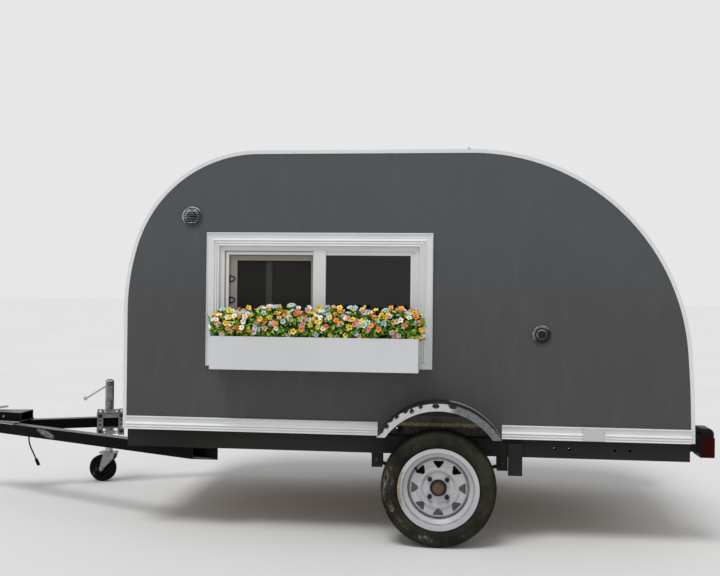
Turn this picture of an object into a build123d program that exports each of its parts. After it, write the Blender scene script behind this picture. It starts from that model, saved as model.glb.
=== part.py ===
from build123d import *
from math import sin, cos, tan, radians, degrees, sqrt, asin, pi
import os

# Teardrop camping trailer, millimetres. +X forward, +Y left, +Z up from the ground.
# Places along X are first measured from the foot of the body's front, then centred.

# Body
body_length = 2438.0
body_width = 1219.0
body_height = 1220.0
body_floor_z = 438.0
wall_thickness = 38.0
shell_thickness = 38.0
front_upright = 519.0
front_shin_radius = 997.0
front_shin_turn = 17.4
rear_turn = 85.4
tail_radius = 4511.0
tail_turn = 3.8
tail_upright = 81.4

# Floor
joist_height = 38.0
joist_width = 38.0
joist_count = 6
deck_thickness = 18.0

# Trims
trim_thickness = 2.0
trim_side_leg = 14.0
trim_top_leg = 20.0
moulding_width = 57.0
moulding_thickness = 17.0
lip_width = 4.0
lip_round = 2.5
cove_length = 20.0
cove_out_near = 12.0
cove_out_far = 10.0
reed_count = 3
reed_first = 33.0
reed_pitch = 10.75
reed_crest = 2.0
reed_valley = 12.5
sill_arch_overlap = 23.0

# Window in the left wall, outer size of its casing
casing_front = 371.5
casing_length = 984.0
casing_low_z = 723.0
casing_height = 579.0
frame_face = 21.0
frame_depth = 60.0
frame_recess = 3.0
mullion_place = 868.0
mullion_width = 53.0
bead_face = 18.0
bead_recess = 6.0
bead_depth = 8.0
sash_face = 17.0
sash_latch_face = 4.0
sash_depth = 36.0
sash_recess = 7.0
sash_groove_width = 5.0
sash_groove_depth = 10.0
light_bar_place = 640.0
light_bar_width = 26.0
light_bar_depth = 12.0
screen_recess = 14.0
screen_depth = 7.0
screen_front_face = 35.0
screen_face = 25.0
screen_rear_face = 10.0
screen_groove = 4.0
pane_thickness = 5.0

# Planter below the window
planter_front = 422.0
planter_length = 880.0
planter_low_z = 718.0
planter_height = 140.0
planter_depth = 122.0
board_thickness = 18.0
planting_rise = 130.0
planting_overhang = 14.0
planting_rear_overhang = 34.0
planting_round = 50.0

# Round fittings on the left wall
vent_place = 302.5
vent_z = 1371.0
vent_radius = 44.0
vent_throat = 34.0
vent_flange = 3.0
vent_bead = 3.0
vent_bead_out = 5.5
vent_barrel_out = 9.0
vent_wall = 2.5
vent_slats = 7
slat_out = 14.0
slat_in = 5.0
slat_fall = 9.0
slat_thickness = 2.5
inlet_place = 1813.0
inlet_z = 878.0
inlet_radius = 38.5
inlet_ring = 21.0
inlet_ring_depth = 14.0
inlet_flange = 5.0
inlet_rim = 4.5
inlet_rim_out = 9.0
inlet_dish = 17.0
inlet_dish_depth = 3.0

# Side door in the right wall
door_front = 440.0
door_width = 620.0
door_low_z = 556.0
door_height = 880.0
door_corner = 60.0
door_gap = 8.0
door_casing = 45.0
door_casing_thickness = 12.0
door_reveal = 10.0
door_stop = 22.0
door_stop_thickness = 10.0
door_stop_gap = 6.0
door_pivot_out = 8.0
hinge_barrel = 6.0
hinge_pin = 3.5
pin_clearance = 0.05
hinge_knuckle = 26.0
door_light_width = 330.0
door_light_height = 300.0
door_light_high = 110.0
door_light_corner = 40.0
light_frame = 16.0
light_frame_proud = 6.0
light_frame_lip = 4.0
hinge_end_distance = 150.0
hinge_strap = 50.0
handle_setback = 70.0
handle_drop = 60.0
handle_plate_width = 80.0
handle_plate_height = 110.0
handle_plate_out = 5.0
handle_grip_width = 56.0
handle_grip_height = 60.0
handle_grip_drop = 10.0
handle_grip_out = 15.0

# Rear hatch and galley
hatch_length = 938.0
hatch_gap = 6.0
hatch_barrel = 7.0
hatch_pin = 3.5
hatch_leaf = 34.0
hatch_leaf_thickness = 3.0
hatch_knuckles = 7
rear_board_height = 100.0
hatch_pull_height = 60.0
hatch_pull_length = 120.0
hatch_pull_bar = 14.0
hatch_pull_bar_depth = 10.0
hatch_pull_out = 24.0
hatch_pull_leg = 12.0
hatch_pull_leg_place = 46.0
panel_thickness = 18.0
counter_height = 480.0
foot_panel_setback = 438.0

# Frame
rail_height = 76.0
rail_width = 50.0
rail_wall = 4.0
rail_front = 20.0
rail_setback = 18.0
rail_hole_radius = 6.0
rail_hole_spacing = 60.0
rail_hole_setbacks = (536.5, 290.5)
crossmember_width = 50.0
crossmember_count = 5
crossmember_wall = 3.0

# Tongue
tongue_apex = 1000.0
tongue_half_angle = 25.0
arm_size = 51.0
arm_wall = 4.0
arm_split = 0.25

# Coupler
ball_place = 1085.0
ball_socket_radius = 25.6
ball_socket_length = 20.0
coupler_wall = 9.0
coupler_top = 416.0
coupler_neck = 62.0
coupler_plate = 6.0
coupler_rear = 760.0
coupler_front_setback = 60.0
coupler_chin = 12.0
hood_rear = 745.0
hood_rear_half = 70.0
hood_front_half = 36.0
hood_wall = 5.0
lever_length = 142.0
lever_width = 28.0
lever_high = 26.0
lever_end = 18.0
lever_tip = 6.0
lever_bend = 22.0
lever_knee = 14.0
lever_foot = 52.0

# Running gear
axle_place = 1389.0
tyre_radius = 240.0
tyre_width = 135.0
sidewall_bulge = 38.0
shoulder_drop = 10.0
shoulder_width = 27.0
disc_outset = 82.0
axle_beam_size = 45.0
spindle_radius = 12.7
spring_span = 265.0
spring_camber = 35.0
leaf_thickness = 7.0
leaf_width = 45.0
spring_pad = 6.0
eye_radius = 14.0
hanger_length = 46.0
hanger_drop = 60.0
hanger_plate = 5.0
seat_clearance = 0.3
beam_overhang = 20.0
saddle_length = 90.0
saddle_side = 10.0
saddle_thickness = 8.0
perch_length = 60.0
ubolt_radius = 4.5
ubolt_gap = 6.0
ubolt_side = 5.0
ubolt_tail = 20.0
ubolt_rise = 3.0
leaf_count = 3
leaf_share_step = 0.28
spring_pin_radius = 6.0
hanger_clearance = 1.0

# Wheel
rim_seat_radius = 152.4
rim_flange_radius = 169.3
rim_half_width = 57.0
rim_wall = 4.0
rim_well_radius = 133.0
rim_to_disc = 9.0
disc_bore = 35.0
disc_thickness = 4.0
disc_seat_radius = 64.0
disc_ring_radius = 73.0
disc_ring_width = 9.0
disc_ring_rise = 10.0
disc_field_inner = 84.0
disc_field_outer = 117.0
disc_field_rise = 3.0
disc_edge_radius = 124.0
disc_edge_drop = 7.0
lug_circle = 101.6
lug_count = 4
lug_hole = 7.0
vent_count = 8
vent_outer = 113.0
vent_inner = 84.0
vent_base = 54.0
vent_point = 5.0
vent_corner = 5.0
nut_radius = 10.0
nut_height = 16.0
nut_end = 26.0
hub_flange_radius = 60.0
hub_barrel_radius = 33.0
cap_radius = 24.0
cap_reach = 40.0

# Fender
fender_radius = 298.0
fender_centre_z = 299.0
fender_half_angle = 58.7
fender_width = 162.0
fender_sheet = 2.5
fender_lip = 30.0
fender_hem = 5.0
fender_hem_depth = 7.0
fender_flange = 25.0
arch_radius = 285.0
arch_depth = 20.0

# Tail lamps and their brackets
lamp_setback = 24.0
lamp_depth = 57.0
lamp_size = 118.0
lamp_low_z = 381.0
lamp_height = 120.0
lamp_base_depth = 5.0
lamp_cap_height = 36.0
lamp_cap_round = 24.0
lamp_corner = 18.0
lens_side_inset = 2.0
lens_round = 5.0
bracket_plate = 4.0
bracket_plate_half = 45.0
bracket_plate_over = 30.0
bracket_arm_height = 74.0
bracket_rise = 36.0
bracket_arm_place = 5.0
wiring_hole_place = 1218.0
wiring_hole_z = 461.0
wiring_hole_radius = 17.0

# Bar hanging from each rail behind the wheel
post_place = 1678.0
post_length = 58.0
post_drop = 75.0
post_depth = 25.0
post_wall = 4.0

# Jack, set out from the right arm's outer face
jack_place = 408.0
bracket_length = 140.0
bracket_height = 142.0
upright_width = 30.0
upright_sheet = 4.0
upright_flange = 12.0
upright_flange_sheet = 3.0
upright_hole_radius = 5.0
upright_hole_drops = (11.0, 61.0, 84.0)
bracket_bars = ((2.0, 22.0), (29.0, 47.0), (118.0, 134.0))
bar_hole_radius = 4.0
bar_hole_place = 30.0
clamp_plate = 6.0
clamp_over = 16.0
clamp_bolt_above = 9.0
clamp_bolt_below = 24.0
clamp_bolt_radius = 5.0
clamp_bolt_end = 8.0
clamp_strap_over = 11.0
pivot_boss = 20.0
pivot_boss_radius = 28.0
pivot_disc = 8.0
pivot_disc_radius = 36.0
jack_tube_radius = 23.5
jack_tube_wall = 2.7
jack_leg_radius = 20.5
jack_leg_wall = 3.0
jack_leg_foot = 12.0
jack_leg_bore = 20.0
jack_tube_low = 262.0
jack_head_low = 440.0
jack_head_top = 553.0
jack_head_width = 45.0
jack_head_depth = 50.0
jack_head_round = 12.0
jack_head_bevel = 6.0
jack_head_cover = 12.0
jack_web_half = 20.0
jack_web_rise = 25.0
jack_leg_low = 162.0
jack_leg_top = 430.0
caster_radius = 72.0
caster_width = 40.0
caster_trail = 33.0
cheek_drop = 37.0
# Points of the fork's cheek: place ahead of the caster's axle and height above it
cheek_outline = [(4.0, 26.0), (11.0, -10.0), (4.0, -16.0), (-8.0, -12.0), (-16.0, 4.0)]
caster_bevel = 7.0
caster_dish_radius = 42.0
caster_hub_radius = 14.0
caster_hub_proud = 3.0
fork_crown = 8.0
fork_rear = 42.0
fork_front = 45.0
fork_shoulder = 20.0
fork_sheet = 5.0
fork_gap = 5.0
swivel_radius = 10.0
fork_axle_radius = 6.0
fork_axle_head = 4.0
crank_reach = 126.0
crank_drop = 78.0
crank_below_top = 28.0
crank_shaft_radius = 8.0
crank_shaft_length = 20.0
crank_bar = 9.0
crank_bar_depth = 7.0
crank_grip_radius = 9.0
crank_grip_length = 72.0

# Electrical lead hanging from the left arm
lead_diameter = 7.0
lead_points = [(680, 109, 311), (680, 109, 283), (671, 110.5, 254), (655, 113, 226), (641, 115.5, 200)]
plug_length = 42.0
plug_width = 26.0
plug_depth = 10.0

# Sizes worked out from those above
wall_y = body_width / 2
inner_y = wall_y - wall_thickness
front_brow_radius = (body_height - front_upright - front_shin_radius * sin(radians(front_shin_turn))) \
    / (1 - sin(radians(front_shin_turn)))
tail_heading = rear_turn + tail_turn
tail_drop = tail_radius * (cos(radians(rear_turn)) - cos(radians(tail_heading)))
rear_radius = (body_height - tail_upright * sin(radians(tail_heading)) - tail_drop) \
    / (1 - cos(radians(rear_turn)))
front_reach = front_shin_radius * (1 - cos(radians(front_shin_turn))) \
    + front_brow_radius * cos(radians(front_shin_turn))
rear_reach = rear_radius * sin(radians(rear_turn)) \
    + tail_radius * (sin(radians(tail_heading)) - sin(radians(rear_turn))) \
    + tail_upright * cos(radians(tail_heading))
roof_flat = body_length - front_reach - rear_reach
roof_z = body_floor_z + body_height
deck_z = body_floor_z + joist_height + deck_thickness
rail_low_z = body_floor_z - rail_height
arm_low_z = rail_low_z - arm_size
rail_rear = body_length - rail_setback
hatch_hinge_place = body_length - hatch_length
foot_panel_place = body_length - foot_panel_setback
lamp_place = body_length + lamp_setback
disc_y = wall_y + disc_outset
rim_y = disc_y - rim_to_disc
axle_z = tyre_radius
nose_reach = ball_place + ball_socket_radius + coupler_wall
tail_reach = lamp_place + lamp_depth
front_x = (tail_reach - nose_reach) / 2

nodes = {}


def block(x0, x1, y0, y1, z0, z1):
    """Box between two corners."""
    return Pos((x0 + x1) / 2, (y0 + y1) / 2, (z0 + z1) / 2) * Box(abs(x1 - x0), abs(y1 - y0), abs(z1 - z0))


def rod_y(x, z, radius, y0, y1):
    """Round bar along Y."""
    return Pos(x, (y0 + y1) / 2, z) * Rot(90, 0, 0) * Cylinder(radius, abs(y1 - y0))


def rod_z(x, y, radius, z0, z1):
    """Round bar along Z."""
    return Pos(x, y, (z0 + z1) / 2) * Cylinder(radius, abs(z1 - z0))


def plate_xz(points, y0, y1):
    """Flat plate whose outline is drawn in X and Z, from y0 to y1."""
    wire = Wire.make_polygon([(x, y0, z) for x, z in points], close=True)
    return extrude(Face(wire), amount=y1 - y0, dir=(0, 1, 0))


def plate_xy(points, z0, z1):
    """Flat plate whose outline is drawn in X and Y, from z0 to z1."""
    wire = Wire.make_polygon([(x, y, z0) for x, y in points], close=True)
    return extrude(Face(wire), amount=z1 - z0, dir=(0, 0, 1))


def round_panel(x0, x1, y0, y1, z0, z1, corner):
    """Panel in the XZ plane with rounded corners."""
    panel = block(x0, x1, y0, y1, z0, z1)
    return fillet(panel.edges().filter_by(Axis.Y), corner)


def outline_edges(inset):
    """Edges of the side outline, moved inwards by inset, from the front foot to the rear foot."""
    stretches = [
        # radius or 0 for a line, length of a line, turn in degrees
        (0, front_upright, 0),
        (front_shin_radius, 0, front_shin_turn),
        (front_brow_radius, 0, 90 - front_shin_turn),
        (0, roof_flat, 0),
        (rear_radius, 0, rear_turn),
        (tail_radius, 0, tail_turn),
        (0, None, 0),
    ]
    x, z, heading = -inset, body_floor_z, 90.0
    edges = []
    for radius, length, turn in stretches:
        if radius:
            bend = radius - inset
            cx = x + bend * cos(radians(heading + 90))
            cz = z + bend * sin(radians(heading + 90))
            places = [(cx + bend * cos(radians(heading - 90 + part * turn)),
                       cz + bend * sin(radians(heading - 90 + part * turn))) for part in (0.5, 1)]
            edges.append(Edge.make_three_point_arc((x, 0, z), (places[0][0], 0, places[0][1]),
                                                   (places[1][0], 0, places[1][1])))
            x, z = places[1]
            heading += turn
        else:
            if length is None:
                length = (body_floor_z - z) / sin(radians(heading))
            nx = x + length * cos(radians(heading))
            nz = z + length * sin(radians(heading))
            edges.append(Edge.make_line((x, 0, z), (nx, 0, nz)))
            x, z = nx, nz
    edges.append(Edge.make_line((x, 0, z), (-inset, 0, body_floor_z)))
    return edges


def body_slice(inset, y0, y1):
    """The body's side outline, moved inwards by inset, as a solid from y0 to y1."""
    face = Face(Wire(outline_edges(inset)))
    return Pos(0, y0, 0) * extrude(face, amount=y1 - y0, dir=(0, 1, 0))


def body_band(outer, inner, y0, y1):
    """What lies between two insets of the side outline."""
    return body_slice(outer, y0, y1) - body_slice(inner, y0 - 1, y1 + 1)


def both_sides(solid):
    """A left piece with its mirror image on the right."""
    return [solid, mirror(solid, about=Plane.XZ)]


def save(name, *solids):
    """Keep the solids of one node."""
    nodes[name] = list(solids)


# Walls, with the window, the fittings and the wheel arches cut
opening_x0 = -(casing_front + casing_length - moulding_width)
opening_x1 = -(casing_front + moulding_width)
opening_z0 = casing_low_z + moulding_width
opening_z1 = casing_low_z + casing_height - moulding_width

arch_cut = rod_y(-axle_place, fender_centre_z, arch_radius, wall_y - arch_depth, wall_y + 1)
arch_foot = rod_y(-axle_place, fender_centre_z, arch_radius, inner_y - 1, wall_y + 1) \
    & block(-body_length, 0, inner_y - 1, wall_y + 1, body_floor_z - 1, deck_z)
wall = body_slice(0, inner_y, wall_y) - arch_cut - arch_foot
wall_left = wall - block(opening_x0, opening_x1, inner_y - 1, wall_y + 1, opening_z0, opening_z1)
wall_left = wall_left - rod_y(-vent_place, vent_z, vent_throat, inner_y - 1, wall_y + 1)
wall_left = wall_left - rod_y(-inlet_place, inlet_z, inlet_ring + 4, inner_y - 1, wall_y + 1)
save("wall_left", wall_left)

door_x1 = -door_front
door_x0 = -(door_front + door_width)
door_z0 = door_low_z
door_z1 = door_low_z + door_height
door_hole = round_panel(door_x0, door_x1, -wall_y - 1, -inner_y + 1, door_z0, door_z1, door_corner)
save("wall_right", mirror(wall, about=Plane.XZ) - door_hole)

# Roof and front shell, hatch and rear board, all cut from one band
band = body_band(0, shell_thickness, -inner_y, inner_y)
hinge_x = -hatch_hinge_place
board_z = body_floor_z + rear_board_height
reach = body_length + body_width
behind_hinge = block(-reach, hinge_x, -wall_y, wall_y, body_floor_z - 50, roof_z + 50)
save("roof_shell", band - behind_hinge)

low_box = block(-reach, hinge_x, -wall_y, wall_y, body_floor_z - 1, board_z)
save("rear_board", band & low_box)

hatch_zone = block(-reach, hinge_x - hatch_gap, -inner_y + hatch_gap, inner_y - hatch_gap,
                   board_z + hatch_gap, roof_z + 50)
save("hatch_panel", band & hatch_zone)

# Cabin and galley joinery
inside = body_slice(shell_thickness, -inner_y, inner_y)
save("floor_deck", inside & block(-reach, 0, -inner_y, inner_y, deck_z - deck_thickness, deck_z))
joist_zone = inside & block(-reach, 0, -inner_y, inner_y, body_floor_z, body_floor_z + joist_height)
side_joist = joist_zone & block(-reach, 0, inner_y - joist_width, inner_y, body_floor_z, deck_z)
side_joist = side_joist - rod_y(-wiring_hole_place, wiring_hole_z, wiring_hole_radius,
                                inner_y - joist_width - 1, inner_y + 1)
save("side_joists", *both_sides(side_joist))
cross_joists = []
first_joist = shell_thickness
last_joist = body_length - shell_thickness - joist_width - 2
for k in range(joist_count):
    place = first_joist + k * (last_joist - first_joist) / (joist_count - 1)
    cross_joists.append(block(-place - joist_width, -place, -inner_y + joist_width, inner_y - joist_width,
                              body_floor_z, body_floor_z + joist_height))
save("cross_joists", *cross_joists)

counter_z = body_floor_z + counter_height
bulkhead_x = hinge_x + 2
bulkhead = inside & block(bulkhead_x, bulkhead_x + panel_thickness, -inner_y, inner_y, counter_z, roof_z)
inner_shell = body_slice(shell_thickness + hatch_gap, -inner_y, inner_y)
save("galley_counter", inner_shell & block(-reach, bulkhead_x + panel_thickness, -inner_y, inner_y,
                                           counter_z - panel_thickness, counter_z))
foot_panel = block(-foot_panel_place - panel_thickness, -foot_panel_place, -inner_y, inner_y, deck_z,
                   counter_z - panel_thickness)
save("bulkheads", bulkhead, foot_panel)

# Edge trims: an angle bent round each side's outline
leg_side = body_band(-trim_thickness, trim_side_leg, wall_y, wall_y + trim_thickness)
leg_top = body_band(-trim_thickness, 0, wall_y - trim_top_leg, wall_y)
save("edge_trims", *both_sides(leg_side + leg_top))


# Fluted moulding, shared by the sills and the window casing
def moulding_points():
    """Section of the moulding: across its width from the lip, and out from the wall."""
    lip_out = moulding_thickness - 1
    points = [(0, 0), (0, lip_out - lip_round), (lip_round, lip_out), (lip_width, lip_out),
              (lip_width + 1, cove_out_near), (lip_width + 1 + cove_length, cove_out_far)]
    for k in range(reed_count):
        crest = reed_first + k * reed_pitch
        out = moulding_thickness - 0.5 * k
        points += [(crest, out), (crest + reed_crest, out)]
        if k < reed_count - 1:
            points.append((crest + reed_crest + 1.5, reed_valley))
    points += [(moulding_width, reed_valley + 1), (moulding_width, 0)]
    return points


def moulding_x(x0, x1, z0, up):
    """A stick along X, its section's first edge at z0 and its width up or down from there."""
    wire = Wire.make_polygon([(x0, wall_y + out, z0 + up * across) for across, out in moulding_points()],
                             close=True)
    return extrude(Face(wire), amount=x1 - x0, dir=(1, 0, 0))


def moulding_z(z0, z1, x0, side):
    """A stick along Z, its section's first edge at x0 and its width to the given side."""
    wire = Wire.make_polygon([(x0 + side * across, wall_y + out, z0) for across, out in moulding_points()],
                             close=True)
    return extrude(Face(wire), amount=z1 - z0, dir=(0, 0, 1))


sill_end = arch_radius - sill_arch_overlap
sills = []
sill_front = (-axle_place + sill_end, -trim_side_leg)
sill_rear = (-body_length + trim_side_leg + 1, -axle_place - sill_end)
for x0, x1 in (sill_front, sill_rear):
    sills += both_sides(moulding_x(x0, x1, body_floor_z + moulding_width, -1))
save("sill_mouldings", *sills)

cx0, cx1 = -(casing_front + casing_length), -casing_front
cz0, cz1 = casing_low_z, casing_low_z + casing_height
top_zone = plate_xz([(cx0, cz1), (cx1, cz1), (opening_x1, opening_z1), (opening_x0, opening_z1)],
                    wall_y, wall_y + moulding_thickness)
bottom_zone = plate_xz([(cx0, cz0), (cx1, cz0), (opening_x1, opening_z0), (opening_x0, opening_z0)],
                       wall_y, wall_y + moulding_thickness)
rear_zone = plate_xz([(cx0, cz0), (cx0, cz1), (opening_x0, opening_z1), (opening_x0, opening_z0)],
                     wall_y, wall_y + moulding_thickness)
front_zone = plate_xz([(cx1, cz0), (cx1, cz1), (opening_x1, opening_z1), (opening_x1, opening_z0)],
                      wall_y, wall_y + moulding_thickness)
casing = (moulding_x(cx0, cx1, cz1, -1) & top_zone) + (moulding_x(cx0, cx1, cz0, 1) & bottom_zone) \
    + (moulding_z(cz0, cz1, cx0, 1) & rear_zone) + (moulding_z(cz0, cz1, cx1, -1) & front_zone)
save("window_casing", casing)

# Window: frame with its mullion, sliding sash in the forward half, two panes
frame_y1 = wall_y + frame_recess
frame_y0 = frame_y1 - frame_depth
glass_x0, glass_x1 = opening_x0 + frame_face, opening_x1 - frame_face
glass_z0, glass_z1 = opening_z0 + frame_face, opening_z1 - frame_face
mullion_x0 = -mullion_place - mullion_width / 2
mullion_x1 = -mullion_place + mullion_width / 2
window_frame = block(opening_x0, opening_x1, frame_y0, frame_y1, opening_z0, opening_z1) \
    - block(glass_x0, mullion_x0, frame_y0 - 1, frame_y1 + 1, glass_z0, glass_z1) \
    - block(mullion_x1, glass_x1, frame_y0 - 1, frame_y1 + 1, glass_z0, glass_z1)
bead_y1 = frame_y1 - bead_recess
bead = block(glass_x0, mullion_x0, bead_y1 - bead_depth, bead_y1, glass_z0, glass_z1) \
    - block(glass_x0 + bead_face, mullion_x0 + 1, bead_y1 - bead_depth - 1, bead_y1 + 1,
            glass_z0 + bead_face, glass_z1 - bead_face)
save("window_frame", window_frame + bead)
fixed_pane = block(glass_x0, mullion_x0, bead_y1 - bead_depth - pane_thickness, bead_y1 - bead_depth,
                   glass_z0, glass_z1)

sash_y1 = frame_y1 - sash_recess
sash_y0 = sash_y1 - sash_depth
light_x0, light_x1 = mullion_x1 + sash_latch_face, glass_x1 - sash_face
light_low, light_high = glass_z0 + sash_face, glass_z1 - sash_face
sash = block(mullion_x1, glass_x1, sash_y0, sash_y1, glass_z0, glass_z1) \
    - block(light_x0, light_x1, sash_y0 - 1, sash_y1 + 1, light_low, light_high)
groove = block(light_x0, glass_x1 + 1, sash_y1 - sash_groove_depth, sash_y1 + 1, glass_z0 - 1, glass_z1 + 1) \
    - block(light_x0 - 1, glass_x1 - sash_groove_width, sash_y1 - sash_groove_depth - 1, sash_y1 + 2,
            glass_z0 + sash_groove_width, glass_z1 - sash_groove_width)
bar_x0 = -light_bar_place - light_bar_width / 2
sash = sash - groove + block(bar_x0, bar_x0 + light_bar_width, sash_y0, sash_y0 + light_bar_depth,
                             light_low, light_high)
save("window_sash", sash)
pane_y = sash_y0 + (light_bar_depth - pane_thickness) / 2
sash_pane = block(light_x0, bar_x0, pane_y, pane_y + pane_thickness, light_low, light_high)
save("window_glass", sash_pane, fixed_pane)

screen_y1 = sash_y1 - screen_recess
screen_y0 = screen_y1 - screen_depth
screen = block(light_x0, light_x1, screen_y0, screen_y1, light_low, light_high) \
    - block(light_x0 + screen_rear_face, light_x1 - screen_front_face, screen_y0 - 1, screen_y1 + 1,
            light_low + screen_face, light_high - screen_face)
screen = screen - (block(light_x0 - 1, light_x1 + 1, screen_y1 - screen_groove, screen_y1 + 1,
                         light_low - 1, light_high + 1)
                   - block(light_x0 + screen_groove, light_x1 - screen_groove, screen_y0 - 1, screen_y1 + 2,
                           light_low + screen_groove, light_high - screen_groove))
save("screen_frame", screen)

# Planter box and what grows in it
plant_y0 = wall_y + moulding_thickness
plant_y1 = plant_y0 + planter_depth
px0, px1 = -(planter_front + planter_length), -planter_front
pz0, pz1 = planter_low_z, planter_low_z + planter_height
planter = block(px0, px1, plant_y0, plant_y1, pz0, pz1) \
    - block(px0 + board_thickness, px1 - board_thickness, plant_y0 + board_thickness,
            plant_y1 - board_thickness, pz0 + board_thickness, pz1 + 1)
save("planter_box", planter)
soil = block(px0 + board_thickness, px1 - board_thickness, plant_y0 + board_thickness,
             plant_y1 - board_thickness, pz0 + board_thickness, pz1 + 1)
mound = block(px0 - planting_rear_overhang, px1 + planting_overhang, plant_y0 + 2,
              plant_y1 + planting_overhang, pz1 + seat_clearance, pz1 + planting_rise)
mound = fillet(mound.edges().filter_by(Axis.X).group_by(Axis.Z)[-1], planting_round)
save("planting", soil + mound)

# Round vent and power inlet
vent = rod_y(-vent_place, vent_z, vent_radius, wall_y, wall_y + vent_flange) \
    + (rod_y(-vent_place, vent_z, vent_radius, wall_y, wall_y + vent_bead_out)
       - rod_y(-vent_place, vent_z, vent_radius - vent_bead, wall_y - 1, wall_y + vent_bead_out + 1))
vent = vent + rod_y(-vent_place, vent_z, vent_throat, inner_y, wall_y + vent_barrel_out)
vent_clear = vent_throat - vent_wall
vent = vent - rod_y(-vent_place, vent_z, vent_clear, inner_y - 1, wall_y + slat_out)
for k in range(vent_slats):
    z = vent_z + (k - (vent_slats - 1) / 2) * 2 * vent_clear / (vent_slats + 1)
    back_x, inside_y, outside_y = -vent_place - vent_throat, wall_y - slat_in, wall_y + slat_out
    upper, lower = z + slat_fall / 2, z - slat_fall / 2
    section = Wire.make_polygon([(back_x, inside_y, upper), (back_x, outside_y, lower),
                                 (back_x, outside_y, lower + slat_thickness),
                                 (back_x, inside_y, upper + slat_thickness)], close=True)
    slat = extrude(Face(section), amount=2 * vent_throat, dir=(1, 0, 0))
    vent = vent + (slat & rod_y(-vent_place, vent_z, vent_clear + 1, inner_y, wall_y + vent_radius))
save("round_vent", vent)

inlet = rod_y(-inlet_place, inlet_z, inlet_radius, wall_y, wall_y + inlet_rim_out) \
    - rod_y(-inlet_place, inlet_z, inlet_radius - inlet_rim,
            wall_y + inlet_flange, wall_y + inlet_rim_out + 1)
inlet = inlet + rod_y(-inlet_place, inlet_z, inlet_ring + 4, inner_y, wall_y)
inlet = inlet + rod_y(-inlet_place, inlet_z, inlet_ring, wall_y, wall_y + inlet_ring_depth)
inlet = inlet - rod_y(-inlet_place, inlet_z, inlet_dish, wall_y + inlet_ring_depth - inlet_dish_depth,
                      wall_y + inlet_ring_depth + 1)
save("power_inlet", inlet)

# Side door: frame with its stop and hinge lugs, leaf, light and handle
leaf_x0, leaf_x1 = door_x0 + door_gap, door_x1 - door_gap
leaf_z0, leaf_z1 = door_z0 + door_gap, door_z1 - door_gap
pivot_x = door_x1
pivot_y = -(wall_y + door_pivot_out)
frame_out = door_casing + door_reveal
door_frame = round_panel(door_x0 - frame_out, door_x1 + frame_out, -wall_y - door_casing_thickness, -wall_y,
                         door_z0 - frame_out, door_z1 + frame_out, door_corner + frame_out) \
    - round_panel(door_x0 - door_reveal, door_x1 + door_reveal, -wall_y - door_casing_thickness - 1,
                  -wall_y + 1, door_z0 - door_reveal, door_z1 + door_reveal, door_corner + door_reveal)
stop_y0 = -inner_y + door_stop_gap
stop = round_panel(door_x0 - door_stop, door_x1 + door_stop, -inner_y, stop_y0 + door_stop_thickness,
                   door_z0 - door_stop, door_z1 + door_stop, door_corner + door_stop) \
    - round_panel(door_x0 - door_stop - 1, door_x1 + door_stop + 1, -inner_y - 1, stop_y0,
                  door_z0 - door_stop - 1, door_z1 + door_stop + 1, door_corner) \
    - round_panel(door_x0 + door_stop, door_x1 - door_stop, -inner_y - 1, stop_y0 + door_stop_thickness + 1,
                  door_z0 + door_stop, door_z1 - door_stop, door_corner - door_stop)
rim_ring = round_panel(door_x0 - door_stop, door_x1 + door_stop, -inner_y, stop_y0,
                       door_z0 - door_stop, door_z1 + door_stop, door_corner + door_stop) \
    - round_panel(door_x0, door_x1, -inner_y - 1, stop_y0 + 1, door_z0, door_z1, door_corner)
save("door_stop", stop + rim_ring)

hinge_levels = [door_z0 + hinge_end_distance, door_z1 - hinge_end_distance]
leaf = round_panel(leaf_x0, leaf_x1, -wall_y, -inner_y, leaf_z0, leaf_z1, door_corner - door_gap)
light_x = (leaf_x0 + leaf_x1) / 2
light_z1 = leaf_z1 - door_light_high
light_z0 = light_z1 - door_light_height
light = (light_x - door_light_width / 2, light_x + door_light_width / 2)
leaf = leaf - round_panel(light[0], light[1], -wall_y - 1, -inner_y + 1,
                          light_z0, light_z1, door_light_corner)
for z in hinge_levels:
    low, high = z - hinge_knuckle / 2, z + hinge_knuckle / 2
    barrel = rod_z(pivot_x, pivot_y, hinge_barrel, low, high)
    strap = block(leaf_x1 - hinge_strap, pivot_x, pivot_y - 2, -wall_y, low, high)
    leaf = leaf + (barrel + strap - rod_z(pivot_x, pivot_y, hinge_pin + pin_clearance, low - 1, high + 1))
    for end, away in ((low, -1), (high, 1)):
        near, far = end + away, end + away * (1 + hinge_knuckle)
        lug = rod_z(pivot_x, pivot_y, hinge_barrel, near, far)
        web = block(pivot_x, door_x1 + door_reveal + 2,
                    pivot_y - hinge_barrel / 2, pivot_y + hinge_barrel / 2, min(near, far), max(near, far))
        door_frame = door_frame + lug + web
    door_frame = door_frame + rod_z(pivot_x, pivot_y, hinge_pin, low - 2, high + 2)
save("door_frame", door_frame)
save("door_leaf", leaf)

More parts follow.
